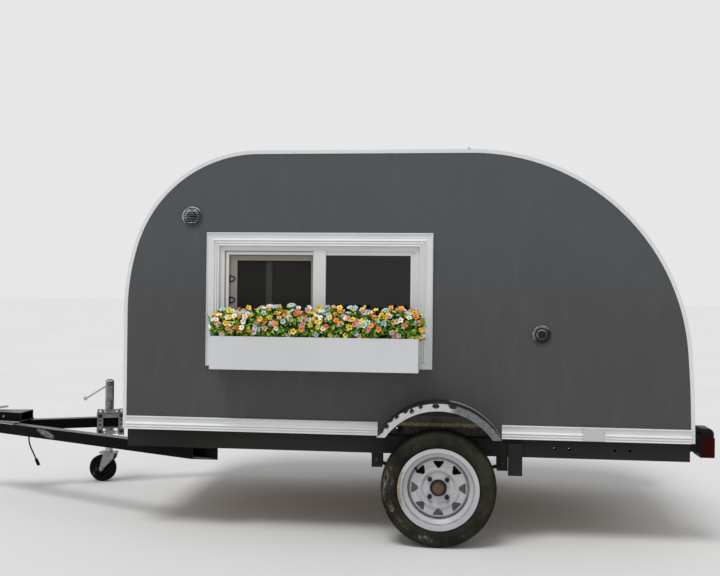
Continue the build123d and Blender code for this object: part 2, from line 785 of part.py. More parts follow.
light_ring = round_panel(light[0] - light_frame, light[1] + light_frame, -wall_y - light_frame_proud, -wall_y,
                         light_z0 - light_frame, light_z1 + light_frame, door_light_corner + light_frame) \
    - round_panel(light[0] + light_frame_lip, light[1] - light_frame_lip, -wall_y - light_frame_proud - 1,
                  -wall_y + 1, light_z0 + light_frame_lip, light_z1 - light_frame_lip,
                  door_light_corner - light_frame_lip)
save("door_light_frame", light_ring)
save("door_glass", round_panel(light[0], light[1], -wall_y, -wall_y + pane_thickness, light_z0, light_z1,
                               door_light_corner))
handle_x = leaf_x0 + handle_setback
handle_z = (door_z0 + door_z1) / 2 - handle_drop
handle = round_panel(handle_x - handle_plate_width / 2, handle_x + handle_plate_width / 2,
                     -wall_y - handle_plate_out, -wall_y, handle_z - handle_plate_height / 2,
                     handle_z + handle_plate_height / 2, 12) \
    + round_panel(handle_x - handle_grip_width / 2, handle_x + handle_grip_width / 2,
                  -wall_y - handle_grip_out, -wall_y - handle_plate_out,
                  handle_z - handle_grip_drop - handle_grip_height / 2,
                  handle_z - handle_grip_drop + handle_grip_height / 2, 10)
save("door_handle", handle)

# Hatch hinge: knuckles taking turns along the pin, with a leaf on each side
hatch_pivot_z = roof_z + hatch_barrel + hatch_leaf_thickness
seam_x = hinge_x - hatch_gap / 2
roof_leaf = block(hinge_x, hinge_x + hatch_leaf, -inner_y + hatch_gap, inner_y - hatch_gap,
                  roof_z, roof_z + hatch_leaf_thickness)
moving_leaf = block(hinge_x - hatch_gap - hatch_leaf, hinge_x - hatch_gap, -inner_y + hatch_gap,
                    inner_y - hatch_gap, roof_z - 1, roof_z + hatch_leaf_thickness)
hatch_span = inner_y - hatch_gap
knuckle = 2 * hatch_span / hatch_knuckles
for k in range(hatch_knuckles):
    y0 = -hatch_span + k * knuckle
    y1 = y0 + knuckle
    if k % 2 == 0:
        roof_leaf = roof_leaf + rod_y(seam_x, hatch_pivot_z, hatch_barrel, y0, y1 - 1) \
            + block(seam_x, hinge_x + hatch_leaf / 2, y0, y1 - 1, roof_z + hatch_leaf_thickness - 1,
                    roof_z + hatch_leaf_thickness + 4)
    else:
        moving_leaf = moving_leaf + rod_y(seam_x, hatch_pivot_z, hatch_barrel, y0, y1 - 1) \
            + block(seam_x, hinge_x - hatch_gap - hatch_leaf / 2, y0, y1 - 1,
                    roof_z + hatch_leaf_thickness - 1, roof_z + hatch_leaf_thickness + 4)
moving_leaf = moving_leaf - body_slice(0, -wall_y, wall_y)
moving_leaf = moving_leaf - rod_y(seam_x, hatch_pivot_z, hatch_pin + pin_clearance, -wall_y, wall_y)
roof_leaf = roof_leaf + rod_y(seam_x, hatch_pivot_z, hatch_pin, -hatch_span, hatch_span)
save("hatch_hinge_roof", roof_leaf)
save("hatch_hinge_leaf", moving_leaf)

pull_z0 = board_z + hatch_pull_height
pull_z1 = pull_z0 + hatch_pull_bar
pull_x = -body_length - hatch_pull_out
hatch_handle = block(pull_x, pull_x + hatch_pull_bar_depth, -hatch_pull_length / 2, hatch_pull_length / 2,
                     pull_z0, pull_z1)
for y in (-hatch_pull_leg_place, hatch_pull_leg_place):
    hatch_handle = hatch_handle + block(pull_x + 4, -body_length + 20, y - hatch_pull_leg / 2,
                                        y + hatch_pull_leg / 2, pull_z0, pull_z1)
save("hatch_handle", hatch_handle - body_slice(0, -wall_y, wall_y))

# Frame rails and crossmembers
rail_y1 = wall_y
rail_y0 = wall_y - rail_width
rail_mid_z = body_floor_z - rail_height / 2
rail = block(-rail_rear, -rail_front, rail_y0, rail_y1, rail_low_z, body_floor_z) \
    - block(-rail_rear - 1, -rail_front + 1, rail_y0 + rail_wall, rail_y1 - rail_wall,
            rail_low_z + rail_wall, body_floor_z - rail_wall)
rail_pairs = [body_length - setback for setback in rail_hole_setbacks]
for middle in rail_pairs:
    for side in (-0.5, 0.5):
        rail = rail - rod_y(-middle + side * rail_hole_spacing, rail_mid_z, rail_hole_radius,
                            rail_y0 - 1, rail_y1 + 1)
save("rails", *both_sides(rail))

members = []
last_member = rail_rear - crossmember_width
for k in range(crossmember_count):
    place = rail_front + k * (last_member - rail_front) / (crossmember_count - 1)
    beam = block(-place - crossmember_width, -place, -rail_y0, rail_y0, rail_low_z, body_floor_z) \
        - block(-place - crossmember_width + crossmember_wall, -place - crossmember_wall, -rail_y0 - 1,
                rail_y0 + 1, rail_low_z + crossmember_wall, body_floor_z - crossmember_wall)
    members.append(beam)
save("crossmembers", *members)

# Tongue arms: square tube laid at the half angle, trimmed at the rail's outer face and the middle
slope = radians(tongue_half_angle)
arm_run = (wall_y + arm_size) / sin(slope)
arm_place = Pos(tongue_apex, 0, 0) * Rot(0, 0, 180 - tongue_half_angle)
arm_solid = arm_place * (block(-3 * arm_size, arm_run, 0, arm_size, arm_low_z, rail_low_z)
                         - block(-3 * arm_size - 1, arm_run + 1, arm_wall, arm_size - arm_wall,
                                 arm_low_z + arm_wall, rail_low_z - arm_wall))
arm_zone = block(-body_length, tongue_apex + 10, arm_split, wall_y, arm_low_z - 1, rail_low_z + 1)
tongue_left = arm_solid & arm_zone
save("tongue_arm_left", tongue_left)
save("tongue_arm_right", mirror(tongue_left, about=Plane.XZ))

# Coupler: plate on the arms, hollow hood, neck, and a cup over the ball
socket_z = coupler_top - coupler_wall - ball_socket_radius
half_neck = coupler_neck / 2
plate_front = tongue_apex - coupler_front_setback
outer_rear = (tongue_apex - coupler_rear) * tan(slope)
outer_front = (tongue_apex - plate_front) * tan(slope)
plate_top = rail_low_z + coupler_plate
coupler = plate_xy([(coupler_rear, outer_rear), (plate_front, outer_front), (plate_front, -outer_front),
                    (coupler_rear, -outer_rear)], rail_low_z, plate_top)
hood = plate_xy([(hood_rear, hood_rear_half), (plate_front, hood_front_half), (plate_front, -hood_front_half),
                 (hood_rear, -hood_rear_half)], plate_top, coupler_top) \
    - plate_xy([(hood_rear - 1, hood_rear_half - hood_wall),
                (plate_front - hood_wall, hood_front_half - hood_wall),
                (plate_front - hood_wall, -hood_front_half + hood_wall),
                (hood_rear - 1, -hood_rear_half + hood_wall)], plate_top - 1, coupler_top - hood_wall)
neck = plate_xz([(plate_front - 2, rail_low_z), (plate_front - 2, coupler_top), (ball_place, coupler_top),
                 (ball_place, socket_z - coupler_chin), (tongue_apex + coupler_chin, rail_low_z)],
                -half_neck, half_neck)
head = rod_z(ball_place, 0, ball_socket_radius + coupler_wall, socket_z - ball_socket_length, socket_z) \
    + (Pos(ball_place, 0, socket_z) * Sphere(ball_socket_radius + coupler_wall))
coupler = coupler + hood + neck + head
socket_low = socket_z - ball_socket_length
coupler = coupler - rod_z(ball_place, 0, ball_socket_radius, socket_low - coupler_neck, socket_z) \
    - (Pos(ball_place, 0, socket_z) * Sphere(ball_socket_radius))
coupler = coupler - block(ball_place - coupler_neck, ball_place + coupler_neck, -coupler_neck, coupler_neck,
                          socket_low - coupler_neck, socket_low)
save("coupler", coupler)

lever_z = coupler_top + seat_clearance
lever_x1 = plate_front + lever_foot
lever_x0 = lever_x1 - lever_length
lever = plate_xz([(lever_x0, coupler_top + lever_end), (lever_x0 + lever_tip, coupler_top + lever_high),
                  (lever_x1 - lever_bend, coupler_top + lever_knee), (lever_x1, lever_z),
                  (plate_front, lever_z)], -lever_width / 2, lever_width / 2)
save("coupler_latch", lever)

# Axle beam, springs and their hangers
spring_y = (rail_y0 + rail_y1) / 2 - 4
beam_half = axle_beam_size / 2
beam_end = wall_y + beam_overhang
pad_z = axle_z + beam_half + spring_pad
pack_z = pad_z + leaf_count * leaf_thickness
axle = block(-axle_place - beam_half, -axle_place + beam_half, -beam_end, beam_end,
             axle_z - beam_half, axle_z + beam_half)
for y in (-1, 1):
    across = leaf_width / 2 + ubolt_side
    axle = axle + rod_y(-axle_place, axle_z, spindle_radius, y * beam_end, y * (disc_y + beam_overhang))
    saddle_half = leaf_width / 2 + saddle_side
    axle = axle + block(-axle_place - saddle_length / 2, -axle_place + saddle_length / 2,
                        y * spring_y - saddle_half, y * spring_y + saddle_half,
                        axle_z - beam_half - saddle_thickness, axle_z - beam_half)
    axle = axle + block(-axle_place - perch_length / 2, -axle_place + perch_length / 2,
                        y * spring_y - leaf_width / 2, y * spring_y + leaf_width / 2,
                        axle_z + beam_half, pad_z - seat_clearance)
    for x in (-beam_half - ubolt_gap, beam_half + ubolt_gap):
        for side in (-across, across):
            axle = axle + rod_z(-axle_place + x, y * spring_y + side, ubolt_radius,
                                axle_z - beam_half - ubolt_tail, pack_z + ubolt_rise + ubolt_radius)
        axle = axle + block(-axle_place + x - ubolt_radius, -axle_place + x + ubolt_radius,
                            y * spring_y - across, y * spring_y + across,
                            pack_z + ubolt_rise, pack_z + ubolt_rise + 2 * ubolt_radius)
save("axle_beam", axle)

curve = (spring_span ** 2 + spring_camber ** 2) / (2 * spring_camber)
curve_z = pack_z + curve
spring = None
for k in range(leaf_count):
    half_turn = degrees(asin(spring_span / curve)) * (1 - k * leaf_share_step)
    ring = rod_y(-axle_place, curve_z, curve + (k + 1) * leaf_thickness, spring_y - leaf_width / 2,
                 spring_y + leaf_width / 2) \
        - rod_y(-axle_place, curve_z, curve + k * leaf_thickness,
                spring_y - leaf_width, spring_y + leaf_width)
    far = 1.2 * curve
    wedge = plate_xz([(-axle_place, curve_z), (-axle_place - far * tan(radians(half_turn)), curve_z - far),
                      (-axle_place + far * tan(radians(half_turn)), curve_z - far)],
                     spring_y - leaf_width, spring_y + leaf_width)
    leaf_solid = ring & wedge
    spring = leaf_solid if spring is None else spring + leaf_solid
eye_z = pack_z + spring_camber + eye_radius - leaf_thickness
for side in (-1, 1):
    eye = rod_y(-axle_place + side * spring_span, eye_z, eye_radius, spring_y - leaf_width / 2,
                spring_y + leaf_width / 2)
    spring = spring + eye
for side in (-1, 1):
    spring = spring - rod_y(-axle_place + side * spring_span, eye_z, spring_pin_radius + seat_clearance,
                            0, beam_end)
save("leaf_springs", *both_sides(spring))

hangers = []
for side in (-1, 1):
    x = -axle_place + side * spring_span
    clear = leaf_width / 2 + hanger_clearance
    hanger = block(x - hanger_length / 2, x + hanger_length / 2, spring_y - clear - hanger_plate,
                   spring_y + clear + hanger_plate, rail_low_z - hanger_drop, rail_low_z) \
        - block(x - hanger_length, x + hanger_length, spring_y - clear, spring_y + clear,
                rail_low_z - hanger_drop - 1, rail_low_z - hanger_plate)
    hanger = hanger + rod_y(x, eye_z, spring_pin_radius, spring_y - clear, spring_y + clear)
    hangers += both_sides(hanger)
save("spring_hangers", *hangers)


# Wheels: tyre, rim and hub about the axle line, drawn with the outboard side towards +Y
def turned(points):
    """Solid of revolution about the axle line from (outboard place, radius) pairs."""
    wire = Wire.make_polygon([(radius, 0, place) for place, radius in points], close=True)
    return Rot(-90, 0, 0) * revolve(Face(wire), Axis.Z, 360)


half = rim_half_width
rim_points = [
    (half, rim_flange_radius), (half - 4, rim_flange_radius), (half - 7, rim_seat_radius + 4),
    (half - 9, rim_seat_radius), (half - 24, rim_seat_radius - 2), (half - 36, rim_well_radius),
    (-half + 30, rim_well_radius), (-half + 22, rim_seat_radius - 2), (-half + 9, rim_seat_radius),
    (-half + 7, rim_seat_radius + 4), (-half + 4, rim_flange_radius), (-half, rim_flange_radius),
    (-half, rim_seat_radius - rim_wall + 4), (-half + 6, rim_seat_radius - rim_wall),
    (-half + 19, rim_seat_radius - 2 - rim_wall), (-half + 27, rim_well_radius - rim_wall),
    (half - 33, rim_well_radius - rim_wall), (half - 21, rim_seat_radius - 2 - rim_wall),
    (half - 6, rim_seat_radius - rim_wall), (half, rim_seat_radius - rim_wall + 4),
]
ring_out = rim_to_disc + disc_ring_rise
field_out = rim_to_disc + disc_field_rise
edge_out = rim_to_disc - disc_edge_drop
disc_front = [
    (rim_to_disc + disc_thickness, disc_bore), (rim_to_disc + disc_thickness, disc_seat_radius),
    (ring_out + disc_thickness, disc_ring_radius),
    (ring_out + disc_thickness, disc_ring_radius + disc_ring_width),
    (field_out + disc_thickness, disc_field_inner + disc_ring_width),
    (field_out + disc_thickness, disc_field_outer),
    (edge_out + disc_thickness, disc_edge_radius), (edge_out + disc_thickness, rim_well_radius - 1),
]
disc_back = [(out - disc_thickness, radius) for out, radius in reversed(disc_front)]
rim = turned(rim_points) + turned(disc_front + disc_back)
window = plate_xz([(-vent_base / 2, vent_outer), (vent_base / 2, vent_outer),
                   (vent_point, vent_inner), (-vent_point, vent_inner)], -half, half)
window = fillet(window.edges().filter_by(Axis.Y).group_by(Axis.Z)[-1], vent_corner)
for k in range(vent_count):
    rim = rim - Rot(0, k * 360 / vent_count, 0) * window
for k in range(lug_count):
    turn = radians(45 + k * 360 / lug_count)
    rim = rim - rod_y(lug_circle / 2 * cos(turn), lug_circle / 2 * sin(turn), lug_hole, -half, half)

half_tyre = tyre_width / 2
bead = half - 9.5
half_section = [
    (bead, rim_seat_radius + seat_clearance), (half - 7.5, rim_flange_radius + 2),
    (half_tyre, tyre_radius - sidewall_bulge), (half_tyre - shoulder_width / 3, tyre_radius - shoulder_drop),
    (half_tyre - shoulder_width, tyre_radius),
]
tyre = turned(half_section + [(-place, radius) for place, radius in reversed(half_section)])

hub_in = beam_end - rim_y + 6
hub = turned([
    (hub_in, 0), (hub_in, hub_barrel_radius), (rim_to_disc - 10, hub_barrel_radius),
    (rim_to_disc - 10, hub_flange_radius), (rim_to_disc, hub_flange_radius), (rim_to_disc, disc_bore - 2),
    (rim_to_disc + 12, disc_bore - 3), (rim_to_disc + 14, cap_radius),
    (rim_to_disc + cap_reach - 8, cap_radius - 1),
    (rim_to_disc + cap_reach - 2, cap_radius - 7), (rim_to_disc + cap_reach, cap_radius - 14),
    (rim_to_disc + cap_reach, 0),
])
hub = hub - rod_y(0, 0, spindle_radius + pin_clearance, hub_in - 1, rim_to_disc + 26)
for k in range(lug_count):
    turn = radians(45 + k * 360 / lug_count)
    x, z = lug_circle / 2 * cos(turn), lug_circle / 2 * sin(turn)
    hub = hub + rod_y(x, z, lug_hole - 1, rim_to_disc - 2, rim_to_disc + nut_end)
    nut = Pos(x, rim_to_disc + disc_thickness + seat_clearance, z) * Rot(-90, 0, 0) \
        * extrude(RegularPolygon(nut_radius, 6), nut_height)
    hub = hub + nut

for side, turn in (("left", 0), ("right", 180)):
    sign = 1 if side == "left" else -1
    place = Pos(-axle_place, sign * rim_y, axle_z) * Rot(0, 0, turn)
    save("tyre_" + side, place * tyre)
    save("rim_" + side, place * rim)
    save("hub_" + side, place * hub)


# Fenders: bent strip with a rolled lip outboard and a flange against the wall
def fender_sector(outer, inner, y0, y1):
    """Part of a ring over the wheel, its ends cut level."""
    ring = rod_y(-axle_place, fender_centre_z, outer, y0, y1) \
        - rod_y(-axle_place, fender_centre_z, inner, y0 - 1, y1 + 1)
    foot_z = fender_centre_z + fender_radius * cos(radians(fender_half_angle))
    above = block(-axle_place - 2 * outer, -axle_place + 2 * outer, y0 - 1, y1 + 1,
                  foot_z, foot_z + 2 * outer)
    return ring & above


fender_y0 = wall_y + seat_clearance
fender_y1 = wall_y + fender_width
lip_radius = fender_radius - fender_lip
fender = fender_sector(fender_radius, fender_radius - fender_sheet, fender_y0, fender_y1) \
    + fender_sector(fender_radius, lip_radius, fender_y1 - fender_sheet, fender_y1) \
    + fender_sector(lip_radius + fender_hem, lip_radius, fender_y1 - fender_hem_depth, fender_y1) \
    + fender_sector(fender_radius, fender_radius - fender_flange, fender_y0, fender_y0 + fender_sheet)
save("fenders", *both_sides(fender))

# Tail lamps on angle brackets behind the rails
lamp_y = wall_y - lamp_size / 2
lamp_y0, lamp_y1 = lamp_y - lamp_size / 2, lamp_y + lamp_size / 2
lamp_x0 = -lamp_place - lamp_depth
lamp_x1 = -lamp_place
lamp_top = lamp_low_z + lamp_height
cap_low = lamp_top - lamp_cap_height
brackets, housings, lenses = [], [], []
plate_high = lamp_low_z + lamp_height / 2 + bracket_plate_over
arm_y = rail_y0 + bracket_arm_place
bracket = block(lamp_x1, lamp_x1 + bracket_plate, lamp_y - bracket_plate_half, lamp_y + bracket_plate_half,
                rail_low_z + bracket_rise, plate_high) \
    + block(lamp_x1, -rail_rear, arm_y, arm_y + bracket_plate,
            rail_low_z + bracket_rise, rail_low_z + bracket_arm_height)
brackets += both_sides(bracket)
cap = block(lamp_x0, lamp_x1, lamp_y0, lamp_y1, cap_low, lamp_top)
cap = fillet(cap.edges().filter_by(Axis.Y).group_by(Axis.Z)[-1].sort_by(Axis.X)[0], lamp_cap_round)
base = block(lamp_x1 - lamp_base_depth, lamp_x1, lamp_y0, lamp_y1, lamp_low_z, lamp_top)
housing = fillet((cap + base).edges().filter_by(Axis.X).group_by(Axis.Z)[-1], lamp_corner)
housings += both_sides(housing)
lens = block(lamp_x0, lamp_x1 - lamp_base_depth, lamp_y0 + lens_side_inset, lamp_y1 - lens_side_inset,
             lamp_low_z, cap_low - seat_clearance)
lens = fillet(lens.edges().group_by(Axis.X)[0].filter_by(Axis.Y), lens_round)
lenses += both_sides(lens)
save("lamp_brackets", *brackets)
save("lamp_housings", *housings)
save("lamp_lenses", *lenses)

# Channel post on the outer face of each rail
post_z0 = rail_low_z - post_drop
post_x1 = -post_place
post_x0 = post_x1 - post_length
post = block(post_x0, post_x1, wall_y, wall_y + post_depth, post_z0, body_floor_z - moulding_thickness) \
    - block(post_x0 + post_wall, post_x1 - post_wall, wall_y - 1, wall_y + post_depth - post_wall,
            post_z0 - 1, body_floor_z)
save("rail_posts", *both_sides(post))

# Jack: bracket clamped round the right arm, swinging body, sliding leg, swivelling caster
arm_outer = (tongue_apex - jack_place) * tan(slope)
jack_frame = Pos(jack_place, -arm_outer, 0) * Rot(0, 0, tongue_half_angle)
arm_mid_z = (arm_low_z + rail_low_z) / 2
br_z0, br_z1 = arm_mid_z - bracket_height / 2, arm_mid_z + bracket_height / 2
half_length = bracket_length / 2
bolt_z = (arm_low_z - clamp_bolt_below, rail_low_z + clamp_bolt_above)
ladder = block(-half_length, half_length, -clamp_plate, 0, arm_low_z - clamp_over, rail_low_z + clamp_over)
for side in (-1, 1):
    x0 = side * half_length
    x1 = x0 - side * upright_width
    middle = (x0 + x1) / 2
    face_y = arm_size + upright_sheet
    upright = block(x0, x1, arm_size, face_y, br_z0, br_z1)
    for x in (x0, x1 + side * upright_flange_sheet):
        upright = upright + block(x, x - side * upright_flange_sheet, arm_size, arm_size + upright_flange,
                                  br_z0, br_z1)
    for drop in upright_hole_drops:
        upright = upright - rod_y(middle, br_z1 - drop, upright_hole_radius, arm_size - 1, face_y + 1)
    strap = block(x0, x1, -clamp_plate, 0, bolt_z[0] - clamp_strap_over, bolt_z[1] + clamp_strap_over)
    ladder = ladder + upright + strap
    for z in bolt_z:
        ladder = ladder + rod_y(middle, z, clamp_bolt_radius, -clamp_plate - clamp_bolt_end,
                                face_y + clamp_bolt_end)
for drop0, drop1 in bracket_bars:
    bar = block(-half_length + upright_width, half_length - upright_width, arm_size, arm_size + upright_sheet,
                br_z1 - drop1, br_z1 - drop0)
    for x in (-bar_hole_place, bar_hole_place):
        bar = bar - rod_y(x, br_z1 - (drop0 + drop1) / 2, bar_hole_radius, arm_size - 1,
                          arm_size + upright_sheet + 1)
    ladder = ladder + bar
ladder = ladder + rod_y(0, arm_mid_z, pivot_boss_radius, -clamp_plate - pivot_boss, -clamp_plate)
save("jack_bracket", jack_frame * ladder)

disc_y1 = -clamp_plate - pivot_boss - seat_clearance
disc_y0 = disc_y1 - pivot_disc
tube_y = disc_y0 - jack_tube_radius + 2
body = rod_y(0, arm_mid_z, pivot_disc_radius, disc_y0, disc_y1)
tube = rod_z(0, tube_y, jack_tube_radius, jack_tube_low, jack_head_low + 5)
head_y0, head_y1 = tube_y - jack_head_depth / 2, tube_y + jack_head_depth / 2
gear_head = block(-jack_head_width / 2, jack_head_width / 2, head_y0, head_y1, jack_head_low, jack_head_top)
gear_head = fillet(gear_head.edges().filter_by(Axis.Z), jack_head_round)
gear_head = chamfer(gear_head.edges().group_by(Axis.Z)[-1], jack_head_bevel)
body = body + tube + gear_head + block(-jack_web_half, jack_web_half, tube_y, disc_y0,
                                       arm_mid_z - jack_web_rise, arm_mid_z + jack_web_rise)
body = body - rod_z(0, tube_y, jack_tube_radius - jack_tube_wall, jack_tube_low - 1,
                    jack_head_top - jack_head_cover)
save("jack_body", jack_frame * body)

crank_z = jack_head_top - crank_below_top
bar_y1 = head_y0 - crank_shaft_length
bar_y0 = bar_y1 - crank_bar_depth
crank = rod_y(0, crank_z, crank_shaft_radius, bar_y0, head_y0)
crank_long = sqrt(crank_reach ** 2 + crank_drop ** 2)
lean = (crank_drop / crank_long * crank_bar / 2, crank_reach / crank_long * crank_bar / 2)
grip_z = crank_z - crank_drop
crank = crank + plate_xz([(lean[0], crank_z + lean[1]), (crank_reach + lean[0], grip_z + lean[1]),
                          (crank_reach - lean[0], grip_z - lean[1]), (-lean[0], crank_z - lean[1])],
                         bar_y0, bar_y1)
crank = crank + rod_y(crank_reach, grip_z, crank_grip_radius, bar_y0 - crank_grip_length, bar_y1)
save("jack_crank", jack_frame * crank)

leg = rod_z(0, tube_y, jack_leg_radius, jack_leg_low, jack_leg_top)
leg = leg - rod_z(0, tube_y, jack_leg_radius - jack_leg_wall, jack_leg_low + jack_leg_foot, jack_leg_top + 1)
leg = leg - rod_z(0, tube_y, swivel_radius + pin_clearance, jack_leg_low - 1, jack_leg_low + jack_leg_bore)
save("jack_leg", jack_frame * leg)

jack_x = jack_place - tube_y * sin(slope)
jack_y = -arm_outer + tube_y * cos(slope)
wheel_x = jack_x + caster_trail
fork_half = caster_width / 2 + fork_gap
crown_z = jack_leg_low - seat_clearance
crown_low = crown_z - fork_crown
fork = block(jack_x - fork_rear, jack_x + fork_front, jack_y - fork_half - fork_sheet,
             jack_y + fork_half + fork_sheet, crown_low, crown_z)
cheek = [(jack_x - fork_rear, crown_z), (jack_x + fork_shoulder, crown_z)] \
    + [(wheel_x + ahead, caster_radius + above) for ahead, above in cheek_outline] \
    + [(jack_x - 0.75 * fork_rear, crown_z - cheek_drop)]
for y0 in (jack_y - fork_half - fork_sheet, jack_y + fork_half):
    fork = fork + plate_xz(cheek, y0, y0 + fork_sheet)
axle_half = fork_half + fork_sheet + fork_axle_head
fork = fork + rod_y(wheel_x, caster_radius, fork_axle_radius, jack_y - axle_half, jack_y + axle_half)
fork = fork + rod_z(jack_x, jack_y, swivel_radius, crown_z - 1, jack_leg_low + jack_leg_foot - 1)
save("caster_fork", fork)

half_caster = caster_width / 2
caster = rod_y(wheel_x, caster_radius, caster_radius, jack_y - half_caster, jack_y + half_caster)
caster = chamfer(caster.edges(), caster_bevel)
for side in (-1, 1):
    face_y = jack_y + side * half_caster
    caster = caster - rod_y(wheel_x, caster_radius, caster_dish_radius, face_y - side * caster_bevel,
                            face_y + side * caster_bevel)
hub_half = half_caster + caster_hub_proud
caster = caster + rod_y(wheel_x, caster_radius, caster_hub_radius, jack_y - hub_half, jack_y + hub_half)
caster = caster - rod_y(wheel_x, caster_radius, fork_axle_radius + pin_clearance, jack_y - caster_width,
                        jack_y + caster_width)
save("caster_wheel", caster)

# Lead hanging from the left arm, ending in a flat plug
lead_path = [Vector(*point) for point in lead_points]


def corner_radii(points):
    """Radius of each bend: 0.45 of the shorter run over the tangent of half the turn."""
    radii = []
    for before, at, after in zip(points, points[1:], points[2:]):
        turn = (at - before).get_angle(after - at)
        shorter = min((at - before).length, (after - at).length)
        radii.append(0.45 * shorter / tan(radians(turn / 2)))
    return radii


radii = corner_radii(lead_path)
print("lead bend radii, mm:", [round(radius) for radius in radii])
lead_line = FilletPolyline(*lead_path, radius=radii)
lead_start = lead_path[0]
section = Plane(origin=lead_start, z_dir=lead_path[1] - lead_start) * Circle(lead_diameter / 2)
lead = sweep(section, path=lead_line)
lead_area = pi * (lead_diameter / 2) ** 2
print("lead volume over section times length:", round(lead.volume / (lead_area * lead_line.length), 4))
save("lead", lead)
plug_plane = Plane(origin=lead_path[-1], x_dir=(0, 1, 0), z_dir=lead_path[-1] - lead_path[-2])
plug = plug_plane * Pos(0, 0, plug_length / 2) * Box(plug_width, plug_depth, plug_length)
save("lead_plug", plug)

os.makedirs("parts", exist_ok=True)
for name, solids in nodes.items():
    moved = [Pos(front_x, 0, 0) * solid for solid in solids]
    shape = moved[0] if len(moved) == 1 else Compound(children=moved)
    export_step(shape, "parts/" + name + ".step")
print(len(nodes), "nodes, front_x", round(front_x, 2))
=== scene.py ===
import math

import bmesh
import bpy
import numpy as np
from mathutils import Matrix, Vector


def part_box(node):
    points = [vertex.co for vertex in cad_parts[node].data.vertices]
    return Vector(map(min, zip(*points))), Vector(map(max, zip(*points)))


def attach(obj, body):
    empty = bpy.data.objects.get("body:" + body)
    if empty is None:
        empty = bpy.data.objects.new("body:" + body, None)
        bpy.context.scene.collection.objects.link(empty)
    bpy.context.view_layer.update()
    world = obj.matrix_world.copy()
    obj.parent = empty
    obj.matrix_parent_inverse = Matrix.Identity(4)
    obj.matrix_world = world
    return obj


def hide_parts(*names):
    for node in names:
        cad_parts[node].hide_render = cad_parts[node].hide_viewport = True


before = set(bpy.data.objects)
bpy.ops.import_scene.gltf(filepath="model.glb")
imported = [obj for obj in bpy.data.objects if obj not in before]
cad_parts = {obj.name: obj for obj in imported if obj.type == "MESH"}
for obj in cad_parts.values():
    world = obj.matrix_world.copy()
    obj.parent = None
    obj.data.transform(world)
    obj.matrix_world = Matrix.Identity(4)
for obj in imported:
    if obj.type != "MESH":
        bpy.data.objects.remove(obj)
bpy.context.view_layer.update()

bl_info = {
    "name": "Teardrop Trailer Dressing",
    "version": (1, 0, 0),
    "blender": (4, 5, 0),
    "location": "3D View > Sidebar > Trailer",
    "description": "Finishes, fittings, planting and tread round the frame of a teardrop camping trailer",
    "category": "Object",
}


def low(node):
    """Lowest corner of a solid of the frame."""
    return np.array(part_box(node)[0])


def high(node):
    """Highest corner of a solid of the frame."""
    return np.array(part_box(node)[1])


def middle_of(node):
    """Middle of a solid's box."""
    return (low(node) + high(node)) / 2


# Places read from the frame: the body's front, side face, foot, roof and rear
FRONT = high("wall_left")[0]
WALL = high("wall_left")[1]
FOOT = low("wall_left")[2]
ROOF = high("wall_left")[2]
REAR = low("wall_left")[0]

# Outer radius of the fenders about their own centre
FENDER_RADIUS = 0.298

X_AXIS, Y_AXIS, Z_AXIS = np.eye(3)


# Surfaces
class Surface:
    """Points, the faces that join them, and the finish number of each face and tint of each point."""

    def __init__(self, points, faces, finish=0, tint=0.0):
        self.points = np.asarray(points, float).reshape(-1, 3)
        self.faces = [np.asarray(part, int) for part in faces if len(part)]
        self.finishes = [np.full(len(part), finish) for part in self.faces]
        self.tint = np.broadcast_to(np.asarray(tint, float), (len(self.points),)).copy()

    def moved(self, matrix):
        """The same surface carried by a 4 by 4 matrix."""
        grid = np.array(matrix, float)
        copy = Surface(self.points @ grid[:3, :3].T + grid[:3, 3], self.faces, 0, self.tint)
        copy.finishes = self.finishes
        return copy

    def mirrored(self):
        """The surface on the other side of the trailer, with its faces turned outwards again."""
        flipped = [part[:, ::-1] for part in self.faces]
        copy = Surface(self.points * np.array([1, -1, 1]), flipped, 0, self.tint)
        copy.finishes = self.finishes
        return copy


def joined(surfaces):
    """One surface out of several."""
    whole = Surface(np.concatenate([s.points for s in surfaces]), [])
    start = 0
    for s in surfaces:
        whole.faces += [part + start for part in s.faces]
        whole.finishes += list(s.finishes)
        start += len(s.points)
    whole.tint = np.concatenate([s.tint for s in surfaces])
    return whole


def grid_faces(rows, cols, close_u=False, close_v=False):
    """Quads of a grid: each joins a point with its next neighbours down and across."""
    i = np.arange(rows if close_u else rows - 1)[:, None]
    j = np.arange(cols if close_v else cols - 1)[None, :]
    down, across = (i + 1) % rows, (j + 1) % cols
    return np.stack([(i * cols + j), (down * cols + j), (down * cols + across), (i * cols + across)],
                    axis=-1).reshape(-1, 4)


def grid(points, close_u=False, close_v=False, caps=False, finish=0, tint=0.0):
    """Surface over an array of points, rows by columns by 3. Caps close its first and last rows with fans."""
    rows, cols = points.shape[:2]
    flat = points.reshape(-1, 3)
    faces = [grid_faces(rows, cols, close_u, close_v)]
    if caps:
        flat = np.concatenate([flat, points[0].mean(0)[None], points[-1].mean(0)[None]])
        ring = np.arange(cols)
        after = (ring + 1) % cols
        last = (rows - 1) * cols
        faces.append(np.stack([np.full(cols, rows * cols), ring, after], axis=1))
        faces.append(np.stack([np.full(cols, rows * cols + 1), last + after, last + ring], axis=1))
    return Surface(flat, faces, finish, tint)


def square_frame(direction):
    """Two unit directions across the given one."""
    w = np.asarray(direction, float)
    w = w / np.linalg.norm(w)
    side = Z_AXIS if abs(w[2]) < 0.9 else X_AXIS
    u = np.cross(side, w)
    u = u / np.linalg.norm(u)
    return u, np.cross(w, u), w


